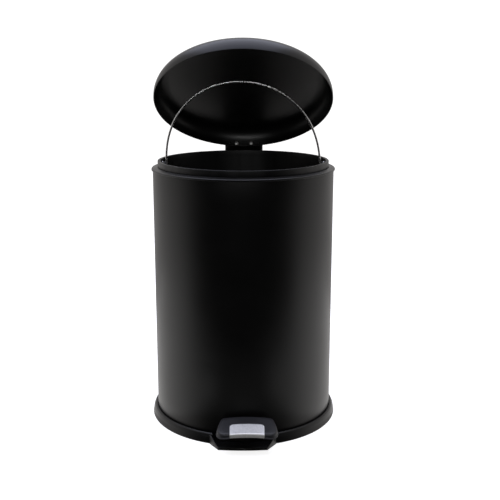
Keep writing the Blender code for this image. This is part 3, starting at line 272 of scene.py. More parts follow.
def rounded(corners, steps=5, closed=True):
    """A flat outline with each corner (a, b, radius) rounded; a corner may leave its radius out."""
    count = len(corners)
    points = []
    for i, corner in enumerate(corners):
        here = Vector(corner[:2])
        radius = corner[2] if len(corner) > 2 else 0.0
        at_end = not closed and i in (0, count - 1)
        if radius <= 0 or at_end:
            points.append(tuple(here))
            continue
        back = Vector(corners[i - 1][:2]) - here
        ahead = Vector(corners[(i + 1) % count][:2]) - here
        room = 0.49 * min(back.length, ahead.length)
        half = back.angle(ahead) / 2
        cut_back = min(radius / math.tan(half), room)
        radius = cut_back * math.tan(half)
        middle = here + (back.normalized() + ahead.normalized()).normalized() * (radius / math.sin(half))
        first = here + back.normalized() * cut_back - middle
        last = here + ahead.normalized() * cut_back - middle
        sweep = math.atan2(first.x * last.y - first.y * last.x, first.dot(last))
        for k in range(steps + 1):
            points.append(tuple(middle + Matrix.Rotation(sweep * k / steps, 2) @ first))
    return points


def make_object(name, bm, smooth_angle=SMOOTH_ANGLE):
    """A finished, smooth-shaded object from an edit mesh."""
    bmesh.ops.recalc_face_normals(bm, faces=bm.faces)
    mesh = bpy.data.meshes.new(name)
    bm.to_mesh(mesh)
    bm.free()
    mesh.shade_smooth()
    mesh.set_sharp_from_angle(angle=math.radians(smooth_angle))
    thing = bpy.data.objects.new(name, mesh)
    bpy.context.scene.collection.objects.link(thing)
    return thing


def lathe(name, profile, steps=ROUND_STEPS, closed=True, angles=None, shift=None):
    """A profile of (radius, height) turned about Z. shift(angle, radius) may move a radius."""
    turns = angles or [2 * math.pi * i / steps for i in range(steps)]
    bm = bmesh.new()
    poles = {}
    rings = []
    for turn in turns:
        ring = []
        for index, (radius, height) in enumerate(profile):
            if radius == 0:
                if index not in poles:
                    poles[index] = bm.verts.new((0, 0, height))
                ring.append(poles[index])
                continue
            out = shift(turn, radius) if shift else radius
            ring.append(bm.verts.new((out * math.cos(turn), out * math.sin(turn), height)))
        rings.append(ring)
    pairs = list(zip(range(len(profile) - 1), range(1, len(profile))))
    if closed:
        pairs.append((len(profile) - 1, 0))
    for ring, following in zip(rings, rings[1:] + rings[:1]):
        for a, b in pairs:
            corners = list(dict.fromkeys((ring[a], ring[b], following[b], following[a])))
            if len(corners) > 2:
                bm.faces.new(corners)
    return make_object(name, bm)


def prism(name, outline, start, end, axis="X"):
    """A flat outline pushed along an axis: points are (y, z) along X, or (x, y) along Z."""
    bm = bmesh.new()
    place = (lambda a, b, at: (at, a, b)) if axis == "X" else (lambda a, b, at: (a, b, at))
    loops = [[bm.verts.new(place(a, b, at)) for a, b in outline] for at in (start, end)]
    bm.faces.new(loops[0])
    bm.faces.new(loops[1][::-1])
    for i in range(len(outline)):
        j = (i + 1) % len(outline)
        bm.faces.new((loops[0][i], loops[0][j], loops[1][j], loops[1][i]))
    return make_object(name, bm)


def block(name, start, end):
    """An upright block between two corners, for cutting and joining."""
    outline = [(start[1], start[2]), (end[1], start[2]), (end[1], end[2]), (start[1], end[2])]
    return prism(name, outline, start[0], end[0])


def bar(name, start, end, radius, steps=SMALL_STEPS):
    """A round bar between two points."""
    start, end = Vector(start), Vector(end)
    length = (end - start).length
    thing = lathe(name, [(0, length), (radius, length), (radius, 0), (0, 0)], steps, closed=False)
    turn = (end - start).to_track_quat("Z", "Y").to_matrix().to_4x4()
    thing.data.transform(Matrix.Translation(start) @ turn)
    return thing


def bevel(thing, width, segments=4, angle=SMOOTH_ANGLE):
    """Rounds the edges that turn by more than an angle."""
    soft = thing.modifiers.new("Edges", "BEVEL")
    soft.width = width
    soft.segments = segments
    soft.limit_method = "ANGLE"
    soft.angle_limit = math.radians(angle)
    soft.harden_normals = True
    return settle(thing)


def settle(thing, smooth_angle=None):
    """Puts what a piece's modifiers make into its own mesh."""
    graph = bpy.context.evaluated_depsgraph_get()
    graph.update()
    mesh = bpy.data.meshes.new_from_object(thing.evaluated_get(graph))
    thing.modifiers.clear()
    thing.data = mesh
    if smooth_angle:
        mesh.shade_smooth()
        mesh.set_sharp_from_angle(angle=math.radians(smooth_angle))
    return thing


def combine(thing, others, operation):
    """Cuts others out of a piece or adds them to it, and removes them."""
    for other in others:
        modifier = thing.modifiers.new("Combine", "BOOLEAN")
        modifier.operation = operation
        modifier.object = other
    settle(thing, SMOOTH_ANGLE)
    for other in others:
        bpy.data.objects.remove(other)
    return thing


def cut(thing, *cutters):
    return combine(thing, cutters, "DIFFERENCE")


def join(thing, *others):
    return combine(thing, others, "UNION")


def gather(name, things):
    """Several meshes as one piece, each staying its own closed surface."""
    bm = bmesh.new()
    for thing in things:
        bm.from_mesh(thing.data)
        bpy.data.objects.remove(thing)
    return make_object(name, bm)


def round_end(tip, inner, radius):
    """Points and shares of the radius from a wire's tip to where it has its full thickness."""
    tip = Vector(tip)
    along = (Vector(inner) - tip).normalized() * radius
    turns = [math.radians(degrees) for degrees in range(75, -1, -15)]
    return [(tip + along * (1 - math.sin(t)), math.cos(t)) for t in turns]


def wire(name, path, radius, end_round=True):
    """A round wire along a path; its ends are rounded over or flat."""
    curve = bpy.data.curves.new(name, "CURVE")
    curve.dimensions = "3D"
    curve.bevel_depth = radius
    curve.bevel_resolution = 5
    curve.use_fill_caps = True
    points = [(Vector(p), 1.0) for p in path]
    if end_round:
        head = round_end(path[0], path[1], radius)
        tail = round_end(path[-1], path[-2], radius)
        points = head + points[1:-1] + tail[::-1]
    spline = curve.splines.new("POLY")
    spline.points.add(len(points) - 1)
    for point, (place, share) in zip(spline.points, points):
        point.co = (*place, 1)
        point.radius = share
    holder = bpy.data.objects.new(name, curve)
    bpy.context.scene.collection.objects.link(holder)
    graph = bpy.context.evaluated_depsgraph_get()
    mesh = bpy.data.meshes.new_from_object(holder.evaluated_get(graph))
    bpy.data.objects.remove(holder)
    bm = bmesh.new()
    bm.from_mesh(mesh)
    bmesh.ops.remove_doubles(bm, verts=bm.verts, dist=WELD)
    return make_object(name, bm, 40)


def bend(corners, radius, steps=8):
    """A bent line through 3D corners, rounded to a radius at each inner one."""
    points = [Vector(corners[0])]
    for before, corner, after in zip(corners, corners[1:], corners[2:]):
        before, corner, after = Vector(before), Vector(corner), Vector(after)
        back = (before - corner).normalized()
        ahead = (after - corner).normalized()
        start = corner + back * radius
        end = corner + ahead * radius
        for i in range(steps + 1):
            t = i / steps
            points.append(start * (1 - t) ** 2 + corner * 2 * t * (1 - t) + end * t**2)
    return points + [Vector(corners[-1])]


def capsule(centre_a, centre_b, radius_a, radius_b, steps=16):
    """The outline round two circles, as where a link goes round two pins."""
    a, b = Vector(centre_a), Vector(centre_b)
    along = b - a
    base = math.degrees(math.atan2(along.y, along.x))
    spread = math.degrees(math.acos((radius_a - radius_b) / along.length))
    outline = arc(b, radius_b, base - spread, base + spread, steps)
    return outline + arc(a, radius_a, base + spread, base + 360 - spread, steps)


def cross_recess(size, depth):
    """Two tapered bars that cut a cross into a screw's head, their top at height zero."""
    tip = size * 0.45
    half_width = size * 0.20
    above = 0.0004
    bars = []
    for turn in (0, 90):
        outline = [(-size, above), (size, above), (tip, -depth), (-tip, -depth)]
        leg = prism("recess", outline, -half_width, half_width)
        leg.data.transform(Matrix.Rotation(math.radians(turn), 4, "Z"))
        bars.append(leg)
    return bars


def screw(name, place, direction, head_radius=0.0034, head_height=0.0022, shank=0.006):
    """A pan head screw with a cross recess, seated at a place and pointing its head along direction."""
    thread, core, pitch = 0.0015, 0.0012, 0.0007
    crest, root = 0.0002, 0.00045
    point = 0.0008
    dome = head_height * 0.8
    crown = (head_radius**2 + dome**2) / (2 * dome)
    rim = math.degrees(math.acos(head_radius / crown))
    profile = [(0, head_height)] + arc((0, head_height - crown), crown, 90, rim, 8)[1:]
    profile += [(head_radius, crest), (head_radius - crest, 0), (thread, 0)]
    for i in range(int(shank / pitch)):
        profile += [(thread, -pitch * i - crest), (core, -pitch * i - root)]
    profile += [(core, -shank), (0, -shank - point)]
    piece = lathe(name, profile, SMALL_STEPS, closed=False)
    recess = cross_recess(head_radius * 0.42, head_height * 0.7)
    for leg in recess:
        leg.data.transform(Matrix.Translation((0, 0, head_height)))
    cut(piece, *recess)
    turn = Vector(direction).to_track_quat("Z", "Y").to_matrix().to_4x4()
    piece.data.transform(Matrix.Translation(place) @ turn)
    return piece


def place_piece(piece, body, slot_name, node):
    """Gives a piece its finish, hides the solid that it stands for, and lets it ride on a body."""
    piece.data.materials.clear()
    piece.data.materials.append(finish(slot_name))
    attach(piece, body)
    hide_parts(node)


def keep_node(node, slot_name):
    """A solid that is shown as it is takes the finish in its material slots."""
    for slot in frame["nodes"][node].material_slots:
        slot.material = finish(slot_name)


# Finishes


class Finish:
    """A material and short ways to add and join its nodes."""

    def __init__(self, name, colour, roughness, metallic=0.0):
        self.material = bpy.data.materials.new(name)
        self.material.use_nodes = True
        self.tree = self.material.node_tree
        self.shader = self.tree.nodes["Principled BSDF"]
        self.shader.inputs["Base Color"].default_value = (*colour, 1)
        self.shader.inputs["Roughness"].default_value = roughness
        self.shader.inputs["Metallic"].default_value = metallic
        self.place = self.tree.nodes.new("ShaderNodeTexCoord").outputs["Object"]

    def add(self, kind, **values):
        node = self.tree.nodes.new(kind)
        for key, value in values.items():
            if key in node.inputs:
                node.inputs[key].default_value = value
            else:
                setattr(node, key, value)
        return node

    def link(self, start, end):
        self.tree.links.new(start, end)

    def stretched(self, scale, turn=(0, 0, 0)):
        """The piece's own coordinates, stretched by three scales."""
        mapping = self.add("ShaderNodeMapping")
        mapping.inputs["Scale"].default_value = scale
        mapping.inputs["Rotation"].default_value = turn
        self.link(self.place, mapping.inputs["Vector"])
        return mapping.outputs["Vector"]

    def noise(self, scale, detail=2.0, where=None):
        node = self.add("ShaderNodeTexNoise", Scale=scale, Detail=detail)
        self.link(where or self.place, node.inputs["Vector"])
        return node.outputs["Fac"]

    def between(self, value, low_end, high_end, first=0.3, last=0.7):
        """A 0 to 1 value spread from low_end to high_end."""
        node = self.add("ShaderNodeMapRange")
        limits = {"From Min": first, "From Max": last, "To Min": low_end, "To Max": high_end}
        for name, number in limits.items():
            node.inputs[name].default_value = number
        self.link(value, node.inputs["Value"])
        return node.outputs["Result"]

    def mixed(self, share, first, second):
        """A colour between two: each is a colour or another node's output."""
        node = self.tree.nodes.new("ShaderNodeMix")
        node.data_type = "RGBA"
        self.link(share, node.inputs["Factor"])
        for name, value in (("A", first), ("B", second)):
            socket = [s for s in node.inputs if s.name == name and s.type == "RGBA"][0]
            if isinstance(value, bpy.types.NodeSocket):
                self.link(value, socket)
            else:
                socket.default_value = (*value, 1)
        return [s for s in node.outputs if s.type == "RGBA"][0]

    def edges(self, first, last):
        """How sharp an edge is, from 0 on the flat to 1 on a sharp outer edge; the finishes lighten their
        colour there, as wear on the coat and zinc and as a painted sheen on the plastics.
        """
        sharp = self.add("ShaderNodeNewGeometry").outputs["Pointiness"]
        return self.between(sharp, 0.0, 1.0, first, last)

    def gloss(self, level):
        self.shader.inputs["Specular IOR Level"].default_value = level

    def colour(self, source):
        self.link(source, self.shader.inputs["Base Color"])

    def rough(self, source):
        self.link(source, self.shader.inputs["Roughness"])

    def bumps(self, *layers):
        """Stacked bumps, each (value, height in metres)."""
        normal = None
        for value, height in layers:
            bump = self.add("ShaderNodeBump", Distance=height)
            bump.inputs["Strength"].default_value = 1.0
            self.link(value, bump.inputs["Height"])
            if normal:
                self.link(normal, bump.inputs["Normal"])
            normal = bump.outputs["Normal"]
        self.link(normal, self.shader.inputs["Normal"])


def tint(colour, share):
    """A colour made lighter or darker by a share."""
    return tuple(min(1.0, c * share) for c in colour)


def coated_steel(finishes):
    """Satin black powder coat: fine orange peel, slight cloudiness, worn a little on the edges."""
    f = Finish("coated_steel_finish", finishes.coat, 0.35)
    f.gloss(0.42)
    peel = f.noise(950, 3)
    fine = f.noise(3200, 1)
    cloud = f.noise(14, 3)
    f.bumps((peel, finishes.coat_grain), (fine, finishes.coat_grain * 0.4))
    f.rough(f.between(cloud, 0.33, 0.37))
    base = f.mixed(f.between(cloud, 0.0, 1.0), tint(finishes.coat, 0.85), tint(finishes.coat, 1.2))
    f.colour(f.mixed(f.edges(0.53, 0.62), base, tint(finishes.coat, 3.0)))
    return f.material


def moulded_plastic(name, colour, roughness, grain=0.00003, scale=1400):
    """Matt moulded plastic: fine spark texture, faint flow marks and edges painted lighter as a painted
    sheen.
    """
    f = Finish(name, colour, roughness)
    f.gloss(0.45)
    spark = f.noise(scale, 2)
    flow = f.noise(1.0, 3, f.stretched((30, 30, 7)))
    f.bumps((spark, grain))
    f.rough(f.between(flow, roughness - 0.04, roughness + 0.05))
    base = f.mixed(f.between(flow, 0.0, 1.0), tint(colour, 0.85), tint(colour, 1.2))
    # The edges are painted lighter: a painted sheen along the plastic's edges.
    f.colour(f.mixed(f.edges(0.52, 0.60), base, tint(colour, 2.6)))
    return f.material


def black_plastic(finishes):
    return moulded_plastic("black_plastic_finish", finishes.moulding, 0.36)


def pedal_plastic(finishes):
    return moulded_plastic("pedal_plastic_finish", finishes.tread, 0.40, grain=0.00002, scale=1800)


def bucket_plastic(finishes):
    """The bucket's plastic, with faint upright streaks from its mould."""
    f = Finish("bucket_plastic_finish", finishes.bucket, 0.42)
    f.gloss(0.45)
    streaks = f.noise(1.0, 2, f.stretched((70, 70, 1.5)))
    spark = f.noise(1200, 2)
    f.bumps((spark, 0.00002), (streaks, 0.00012))
    f.rough(f.between(streaks, 0.36, 0.48))
    base = f.mixed(f.between(streaks, 0.0, 1.0), tint(finishes.bucket, 0.8), tint(finishes.bucket, 1.5))
    # The edges are painted lighter: a painted sheen along the bucket's edges.
    f.colour(f.mixed(f.edges(0.52, 0.60), base, tint(finishes.bucket, 2.4)))
    return f.material


def stainless_steel(finishes):
    """Blasted and brushed stainless steel with faint scuffs from shoes."""
    f = Finish("stainless_steel_finish", finishes.steel, 0.55, metallic=1.0)
    brushed = f.noise(1.0, 4, f.stretched((90, 2600, 2600)))
    mottle = f.noise(260, 4)
    scuff = f.noise(1.0, 3, f.stretched((700, 60, 60), (0, 0, 0.5)))
    f.bumps((brushed, 0.00002), (mottle, 0.00003))
    worn = f.between(scuff, 0.0, 1.0, 0.60, 0.78)
    f.rough(f.between(mottle, 0.48, 0.62))
    base = f.mixed(f.between(mottle, 0.0, 1.0), tint(finishes.steel, 0.92), tint(finishes.steel, 1.05))
    f.colour(f.mixed(worn, base, tint(finishes.steel, 0.82)))
    return f.material


def chromed_wire(finishes):
    """Bright plating on drawn wire, with faint drawing lines and dull spots."""
    f = Finish("chromed_wire_finish", finishes.chrome, 0.27, metallic=1.0)
    lines = f.noise(1.0, 3, f.stretched((350, 1200, 350)))
    spots = f.noise(300, 2)
    f.bumps((lines, 0.000008))
    f.rough(f.between(spots, 0.23, 0.33))
    f.colour(f.mixed(f.between(spots, 0.0, 1.0), tint(finishes.chrome, 0.92), tint(finishes.chrome, 1.05)))
    return f.material


def zinc_steel(finishes):
    """Dull zinc plate with a cloudy, slightly warm passivation."""
    f = Finish("zinc_steel_finish", finishes.zinc, 0.38, metallic=1.0)
    cloud = f.noise(120, 4)
    grain = f.noise(1.0, 2, f.stretched((300, 60, 300)))
    f.bumps((grain, 0.00003))
    f.rough(f.between(cloud, 0.30, 0.48))
    warm = tuple(c * w for c, w in zip(finishes.zinc, (1.12, 1.08, 0.94)))
    base = f.mixed(f.between(cloud, 0.0, 1.0), tint(finishes.zinc, 0.90), warm)
    f.colour(f.mixed(f.edges(0.53, 0.62), base, tint(finishes.zinc, 1.35)))
    return f.material


def rubber(finishes):
    """Matt rubber with fine dust in its grain."""
    f = Finish("rubber_finish", finishes.rubber, 0.85)
    grain = f.noise(900, 3)
    dust = f.noise(160, 4)
    f.bumps((grain, 0.00005))
    f.rough(f.between(grain, 0.78, 0.92))
    dusty = f.between(dust, 0.0, 1.0, 0.45, 0.75)
    f.colour(f.mixed(dusty, tint(finishes.rubber, 0.9), tint(finishes.rubber, 2.2)))
    return f.material


MAKERS = {
    "coated_steel": coated_steel,
    "black_plastic": black_plastic,
    "pedal_plastic": pedal_plastic,
    "bucket_plastic": bucket_plastic,
    "stainless_steel": stainless_steel,
    "chromed_wire": chromed_wire,
    "zinc_steel": zinc_steel,
    "rubber": rubber,
}


def finish(slot_name):
    """The finish for a material slot, made the first time it is asked for."""
    name = slot_name + "_finish"
    if name not in bpy.data.materials:
        MAKERS[slot_name](bpy.context.scene.can_finishes)
    return bpy.data.materials[name]


# Shell, collar and base


def rear_angles(extra):
    """Turning angles of the shell, with more of them beside the seam at the rear."""
    rear = math.pi / 2
    angles = [2 * math.pi * i / ROUND_STEPS for i in range(ROUND_STEPS)]
    angles = [a for a in angles if abs(a - rear) > extra[-1]]
    angles += [rear + side * e for e in extra for side in (-1, 1)] + [rear]
    return sorted(angles)


def make_shell(sizes):
    """A rolled sheet in even bands of height, with a shallow groove at the rear where its ends meet."""
    inner = SHELL_RADIUS - sizes.shell_wall
    edge = sizes.shell_wall * 0.45
    band_count = 12
    bands = [SHELL_FOOT + (SHELL_TOP - SHELL_FOOT) * k / band_count for k in range(1, band_count)]
    profile = rounded([
        (inner, SHELL_TOP, edge),
        (SHELL_RADIUS, SHELL_TOP, edge),
        *((SHELL_RADIUS, z) for z in reversed(bands)),
        (SHELL_RADIUS, SHELL_FOOT, edge),
        (inner, SHELL_FOOT, edge),
        *((inner, z) for z in bands),
    ], steps=4)
    groove = sizes.seam_width / 2 / SHELL_RADIUS

    def shift(angle, radius):
        near = abs(angle - math.pi / 2)
        if radius < SHELL_RADIUS - edge or near > groove * 2:
            return radius
        return radius - edge * max(0.0, 1 - near / groove)

    angles = rear_angles([groove * k for k in (0.5, 1.0, 1.6, 3.0)])
    shell = lathe("outer_shell_fine", profile, angles=angles, shift=shift)
    return cut(shell, lever_opening("shell_front"), rod_opening("shell_rear"))


def lever_opening(name):
    """Where the lever passes through the shell and the base's spigot."""
    travel = (SHELL_RADIUS + PIVOT.y) * math.tan(LEVER_SWING) + LEVER_THICKNESS / 2
    start = (-LEVER_ROOM, -SHELL_RADIUS - 0.004, LEVER_Z - travel - 0.0012)
    end = (LEVER_ROOM, -SHELL_RADIUS + 0.012, LEVER_Z + travel + 0.0035)
    return bevel(block(name, start, end), 0.0015)


def rod_opening(name):
    """The slot in the rear of the shell for the push rod's step."""
    middle = CRANK_PLACE.z - ROD_STEP_DROP - ROD_STEP_HEIGHT / 2
    half = ROD_RADIUS * 2
    reach = 0.0195
    start = (-half, SHELL_RADIUS - 0.008, middle - reach)
    end = (half, SHELL_RADIUS + 0.004, middle + reach)
    return bevel(block(name, start, end), 0.0038, 6)


def make_collar():
    """A ring over the shell's top edge, with a skirt inside the shell and a notch for the push rod."""
    edge = COLLAR_TOP - 0.0019
    under = SHELL_TOP + FIT
    inner = INSIDE_SHELL - 0.0020
    bore = RIM_RADIUS - 0.0022
    bore_foot = COLLAR_TOP - 0.0068
    profile = rounded([
        (bore, COLLAR_TOP, 0.0005),
        (RIM_RADIUS + 0.0012, COLLAR_TOP, 0.0006),
        (COLLAR_RADIUS - 0.0008, edge, 0.0012),
        (COLLAR_RADIUS, edge - 0.0010, 0.0008),
        (COLLAR_RADIUS, under, 0.0005),
        (INSIDE_SHELL, under, 0.0002),
        (INSIDE_SHELL, COLLAR_FOOT, 0.0006),
        (inner, COLLAR_FOOT, 0.0006),
        (inner, bore_foot, 0.0010),
        (bore, bore_foot, 0.0005),
    ], steps=4)
    half = ROD_RADIUS * 3
    start = (-half, SHELL_RADIUS + NARROW, under - 0.001)
    end = (half, COLLAR_RADIUS + 0.003, COLLAR_TOP + 0.001)
    return cut(lathe("top_collar_fine", profile), block("notch", start, end))


def make_base(sizes):
    """The ring round the foot, open at the pedal, the floor with its spigot, and the pedal's tray."""
    outer = RING_RADIUS
    top = 0.016
    groove = 0.0122
    under_shell = SHELL_SEAT - 0.004
    ring_profile = rounded([
        (SHELL_SEAT, groove, 0.0002),
        (SHELL_SEAT, top, 0.0004),
        (outer - 0.0050, top, 0.0010),
        (outer - 0.0034, top - 0.0015, 0.0020),
        (outer - 0.0014, top - 0.0060, 0.0080),
        (outer, 0.0008, 0.0008),
        (outer - 0.0008, 0.0, 0.0004),
        (under_shell, 0.0),
        (under_shell, groove),
    ], steps=4)
    spigot_inner = INSIDE_SHELL - SPIGOT_WALL
    pan_profile = [(0, FLOOR_TOP)] + rounded([
        (spigot_inner - 0.01, FLOOR_TOP),
        (spigot_inner, FLOOR_TOP, 0.0015),
        (spigot_inner, SPIGOT_TOP, 0.0006),
        (INSIDE_SHELL, SPIGOT_TOP, 0.0009),
        (INSIDE_SHELL, 0.0),
    ], steps=4, closed=False) + [(INSIDE_SHELL - 0.003, 0.0), (0, 0.0)]
    pan = lathe("pan", pan_profile, closed=False)
    cut(pan, lever_opening("pan_front"), rod_notch())
    cut(pan, *(pad_pocket(number) for number in PAD_NUMBERS))
    ring = cut(open_ring("ring", ring_profile, sizes.bay_half_width), rod_notch())
    return gather("base_pan_fine", [pan, ring, *make_tray(sizes)])


def rod_notch():
    """Room in the spigot's rear for the lever's end and the push rod."""
    start = (-LEVER_ROOM, INSIDE_SHELL - SPIGOT_WALL - 0.004, FLOOR_TOP + 0.0005)
    return block("rod_notch", start, (LEVER_ROOM, INSIDE_SHELL + NARROW, SPIGOT_TOP + 0.001))


def pad_centre(number):
    return (low(f"foot_pad_{number}") + high(f"foot_pad_{number}")) / 2


def pad_pocket(number):
    centre = pad_centre(number)
    start = (centre.x, centre.y, -0.001)
    return bar("pocket", start, (centre.x, centre.y, PAD_HEIGHT + FIT), PAD_RADIUS + FIT)


def open_ring(name, profile, half_width):
    """A profile turned round all but the front, its ends cut square across the pedal's bay."""
    bm = bmesh.new()
    front = -math.pi / 2
    rings = []
    for i in range(ROUND_STEPS + 1):
        ring = []
        for radius, height in profile:
            lean = math.asin(half_width / radius)
            turn = front + lean + (2 * math.pi - 2 * lean) * i / ROUND_STEPS
            ring.append(bm.verts.new((radius * math.cos(turn), radius * math.sin(turn), height)))
        rings.append(ring)
    for ring, following in zip(rings, rings[1:]):
        for k in range(len(profile)):
            n = (k + 1) % len(profile)
            bm.faces.new((ring[k], ring[n], following[n], following[k]))
    bm.faces.new(rings[0])
    bm.faces.new(rings[-1][::-1])
    return bevel(make_object(name, bm), 0.0005, 3, angle=60)


def make_tray(sizes):
    """The tray in front of the shell: floor, two side walls that run down to a low front lip."""
    half = sizes.bay_half_width
    front_half = 0.0355
    front_y = low("base_pan").y
    bow_depth = 0.0021
    wall = 0.0022
    rear_y = -math.sqrt(RING_RADIUS**2 - half**2) - 0.0018
    lift = 0.0002
    lip_top = 0.0042
    wall_top = 0.0155
    floor_half = half + 0.001
    floor_rear = -SHELL_RADIUS + 0.004
    bow = [(-1 + 2 * i / 12) for i in range(13)]
    front = [(s * (front_half + 0.0008), front_y + bow_depth * s * s) for s in bow]
    outline = [(-floor_half, floor_rear), (-floor_half, rear_y)] + front
    outline += [(floor_half, rear_y), (floor_half, floor_rear)]
    parts = [bevel(prism("tray_floor", outline, 0.0, 0.0024, axis="Z"), 0.0004, 3)]
    lip = [(s * (front_half + 0.0006), front_y + lift + bow_depth * s * s) for s in bow]
    lip += [(x * 0.965, y + 0.0020) for x, y in reversed(lip)]
    parts.append(bevel(prism("tray_lip", lip, lift, lip_top, axis="Z"), 0.0006))
    back = Vector((half, rear_y))
    run = Vector((front_half, front_y + bow_depth)) - back
    length = run.length
    side = rounded([
        (-0.004, lift),
        (length, lift, 0.0004),
        (length, lip_top, 0.0012),
        (length * 0.42, wall_top * 0.56, 0.010),
        (-0.002, wall_top, 0.003),
        (-0.004, wall_top),
    ], steps=5)
    turn = Matrix.Rotation(math.atan2(run.y, run.x) - math.pi / 2, 4, "Z")
    for sign in (-1, 1):
        leg = prism("tray_wall", side, -wall, 0)
        leg.data.transform(Matrix.Translation((back.x, back.y, 0)) @ turn)
        if sign < 0:
            leg.data.transform(Matrix.Diagonal((-1, 1, 1, 1)))
            leg.data.flip_normals()
        parts.append(bevel(leg, 0.0007))
    return parts


def make_pad(number):
    """A round rubber pad with two grooves in its underside."""
    centre = pad_centre(number)
    deep = 0.0005
    soft = 0.0001
    edge = 0.0003
    corners = [(PAD_RADIUS * 0.5, PAD_HEIGHT), (PAD_RADIUS, PAD_HEIGHT, edge), (PAD_RADIUS, 0, edge)]
    for outer in (0.80, 0.42):
        shares = ((outer, 0), (outer - 0.04, deep), (outer - 0.14, deep), (outer - 0.18, 0))
        corners += [(PAD_RADIUS * share, depth, soft) for share, depth in shares]
    profile = [(0, PAD_HEIGHT)] + rounded(corners, steps=3, closed=False) + [(0, 0)]
    pad = lathe(f"foot_pad_fine_{number}", profile, 48, closed=False)
    pad.data.transform(Matrix.Translation((centre.x, centre.y, 0)))
    return pad


# Bucket and bail


def make_bucket(sizes):
    """A tapered bucket with a step in its bottom and a rim turned down over the collar."""
    rim = RIM_RADIUS
    side = rim - 0.003
    wall = sizes.bucket_wall
    foot = side - sizes.bucket_taper
    floor = BUCKET_FOOT + wall
    step = floor + 0.0008
    under = COLLAR_TOP + FIT
    rim_inner = rim - 0.0014
    rim_under = RIM_TOP - 0.0018
    profile = [(0, floor)] + rounded([
        (foot * 0.55, floor, 0.002),
        (foot * 0.58, step, 0.002),
        (foot - wall, step, 0.007),
        (side - wall, RIM_TOP - 0.0100, 0.02),
        (side - wall, RIM_TOP, 0.0008),
        (rim, RIM_TOP, 0.0009),
        (rim, under, 0.0004),
        (rim_inner, under, 0.0004),
        (rim_inner, rim_under, 0.0004),
        (side, rim_under, 0.0004),
        (foot, BUCKET_FOOT, 0.005),
        (foot * 0.5, BUCKET_FOOT),
    ], steps=5, closed=False) + [(0, BUCKET_FOOT)]
    return lathe("bucket_fine", profile, closed=False)


def make_lug(side, sign):
    """The ear inside the rim that one of the bail's feet turns in."""
    node = f"bail_lug_{side}"
    start, end = low(node), high(node)
    inner_x, outer_x = (start.x, end.x) if sign > 0 else (end.x, start.x)
    half = (end.y - start.y) / 2
    thick = 0.0019
    foot_height = 0.0022
    bore = 0.0022
    outline = arc((0, BAIL_PIVOT.z), half, 0, 180, 24) + [(-half, start.z), (half, start.z)]
    lug = prism(node + "_fine", outline, *sorted((inner_x, inner_x + sign * thick)))
    bevel(lug, 0.0004, 3)
    foot_ends = sorted((inner_x + sign * thick / 2, outer_x))
    foot = block("foot", (foot_ends[0], -half, start.z), (foot_ends[1], half, start.z + foot_height))
    join(lug, foot)
    hole_start = (inner_x - sign * 0.002, 0, BAIL_PIVOT.z)
    hole_end = (inner_x + sign * 0.004, 0, BAIL_PIVOT.z)
    return cut(lug, bar("hole", hole_start, hole_end, bore, 24))


def make_bail(sizes):
    """The wire: an upturned tail, a foot through the lug, the arch, and the same again."""
    radius = sizes.wire_radius
    tail_x = high("bail").x - radius
    tail_z = 0.006
    foot = 0.0061
    span = tail_x - foot
    rise = high("bail").z - BAIL_PIVOT.z - radius
    half = foot / 2
    skew = -0.005
    turns = 14
    steps = 110
    flat = [(-tail_x, tail_z), (-tail_x, half)]
    flat += arc((-span - half, half), half, 180, 360, turns)[1:-1]
    power = 2 / sizes.bail_power
    for i in range(steps + 1):
        angle = math.pi * (1 - i / steps)
        up = math.sin(angle) ** power
        across = math.copysign(abs(math.cos(angle)) ** power, math.cos(angle))
        flat.append((span * across + skew * up, half + (rise - half) * up))
    flat += arc((span + half, half), half, 180, 360, turns)[1:-1]
    flat += [(tail_x, half), (tail_x, tail_z)]
    return wire("bail_fine", [(x, 0, BAIL_PIVOT.z + z) for x, z in flat], radius)


# Lid and hinge


def open_lid():
    """Turns what is drawn for the closed lid to where it stands at rest."""
    turn = Matrix.Rotation(-OPENING, 4, "X")
    return Matrix.Translation(HINGE) @ turn @ Matrix.Translation(-HINGE)


def lid_edge_height():
    """Height of the closed lid's edge."""
    return COLLAR_TOP - 0.0013


def lid_outline(sizes, spread, steps):
    """The lid's outer side from the crown down to the skirt, moved out by spread."""
    shoulder_r = LID_RADIUS - sizes.lid_shoulder
    shoulder_z = lid_edge_height() + sizes.lid_skirt
    drop = sizes.lid_skirt - sizes.lid_height
    crown = (shoulder_r**2 + drop**2 - sizes.lid_shoulder**2) / (-2 * sizes.lid_shoulder - 2 * drop)
    crown_z = lid_edge_height() + sizes.lid_height - crown
    split = math.degrees(math.atan2(shoulder_z - crown_z, shoulder_r))
    top = arc((0, crown_z), crown + spread, 90, split, steps)
    shoulder = arc((shoulder_r, shoulder_z), sizes.lid_shoulder + spread, split, 0, steps)[1:]
    return [(0, top[0][1])] + top[1:] + shoulder


def make_lid(sizes):
    """A pressed dome whose edge is folded in to a small hem."""
    wall = sizes.lid_wall
    edge = lid_edge_height()
    outer = lid_outline(sizes, 0.0, 22)
    inner = lid_outline(sizes, -wall, 22)
    hem = LID_RADIUS - 0.0014
    lower = rounded([
        outer[-1],
        (LID_RADIUS, edge, 0.0006),
        (hem, edge, 0.0006),
        (hem, edge + 0.0026, 0.0004),
        (LID_RADIUS - wall, edge + 0.0030, 0.0004),
        inner[-1],
    ], steps=5, closed=False)
    dome = lathe("lid_fine", outer[:-1] + lower + inner[-2::-1], closed=False)
    dome.data.transform(open_lid())
    return dome


def lid_seat(x, sizes):
    """A seat inside the lid's rear skirt, x from its middle, and the way a head points there, at rest."""
    angle = math.asin(x / LID_RADIUS)
    outward = Vector((math.sin(angle), math.cos(angle), 0))
    seat = outward * (LID_RADIUS - sizes.lid_wall - FIT) + Vector((0, 0, lid_edge_height() + 0.005))
    return open_lid() @ seat, open_lid().to_3x3() @ -outward


def make_lid_screw(name, x, sizes):
    return screw(name, *lid_seat(x, sizes), head_height=0.0021)


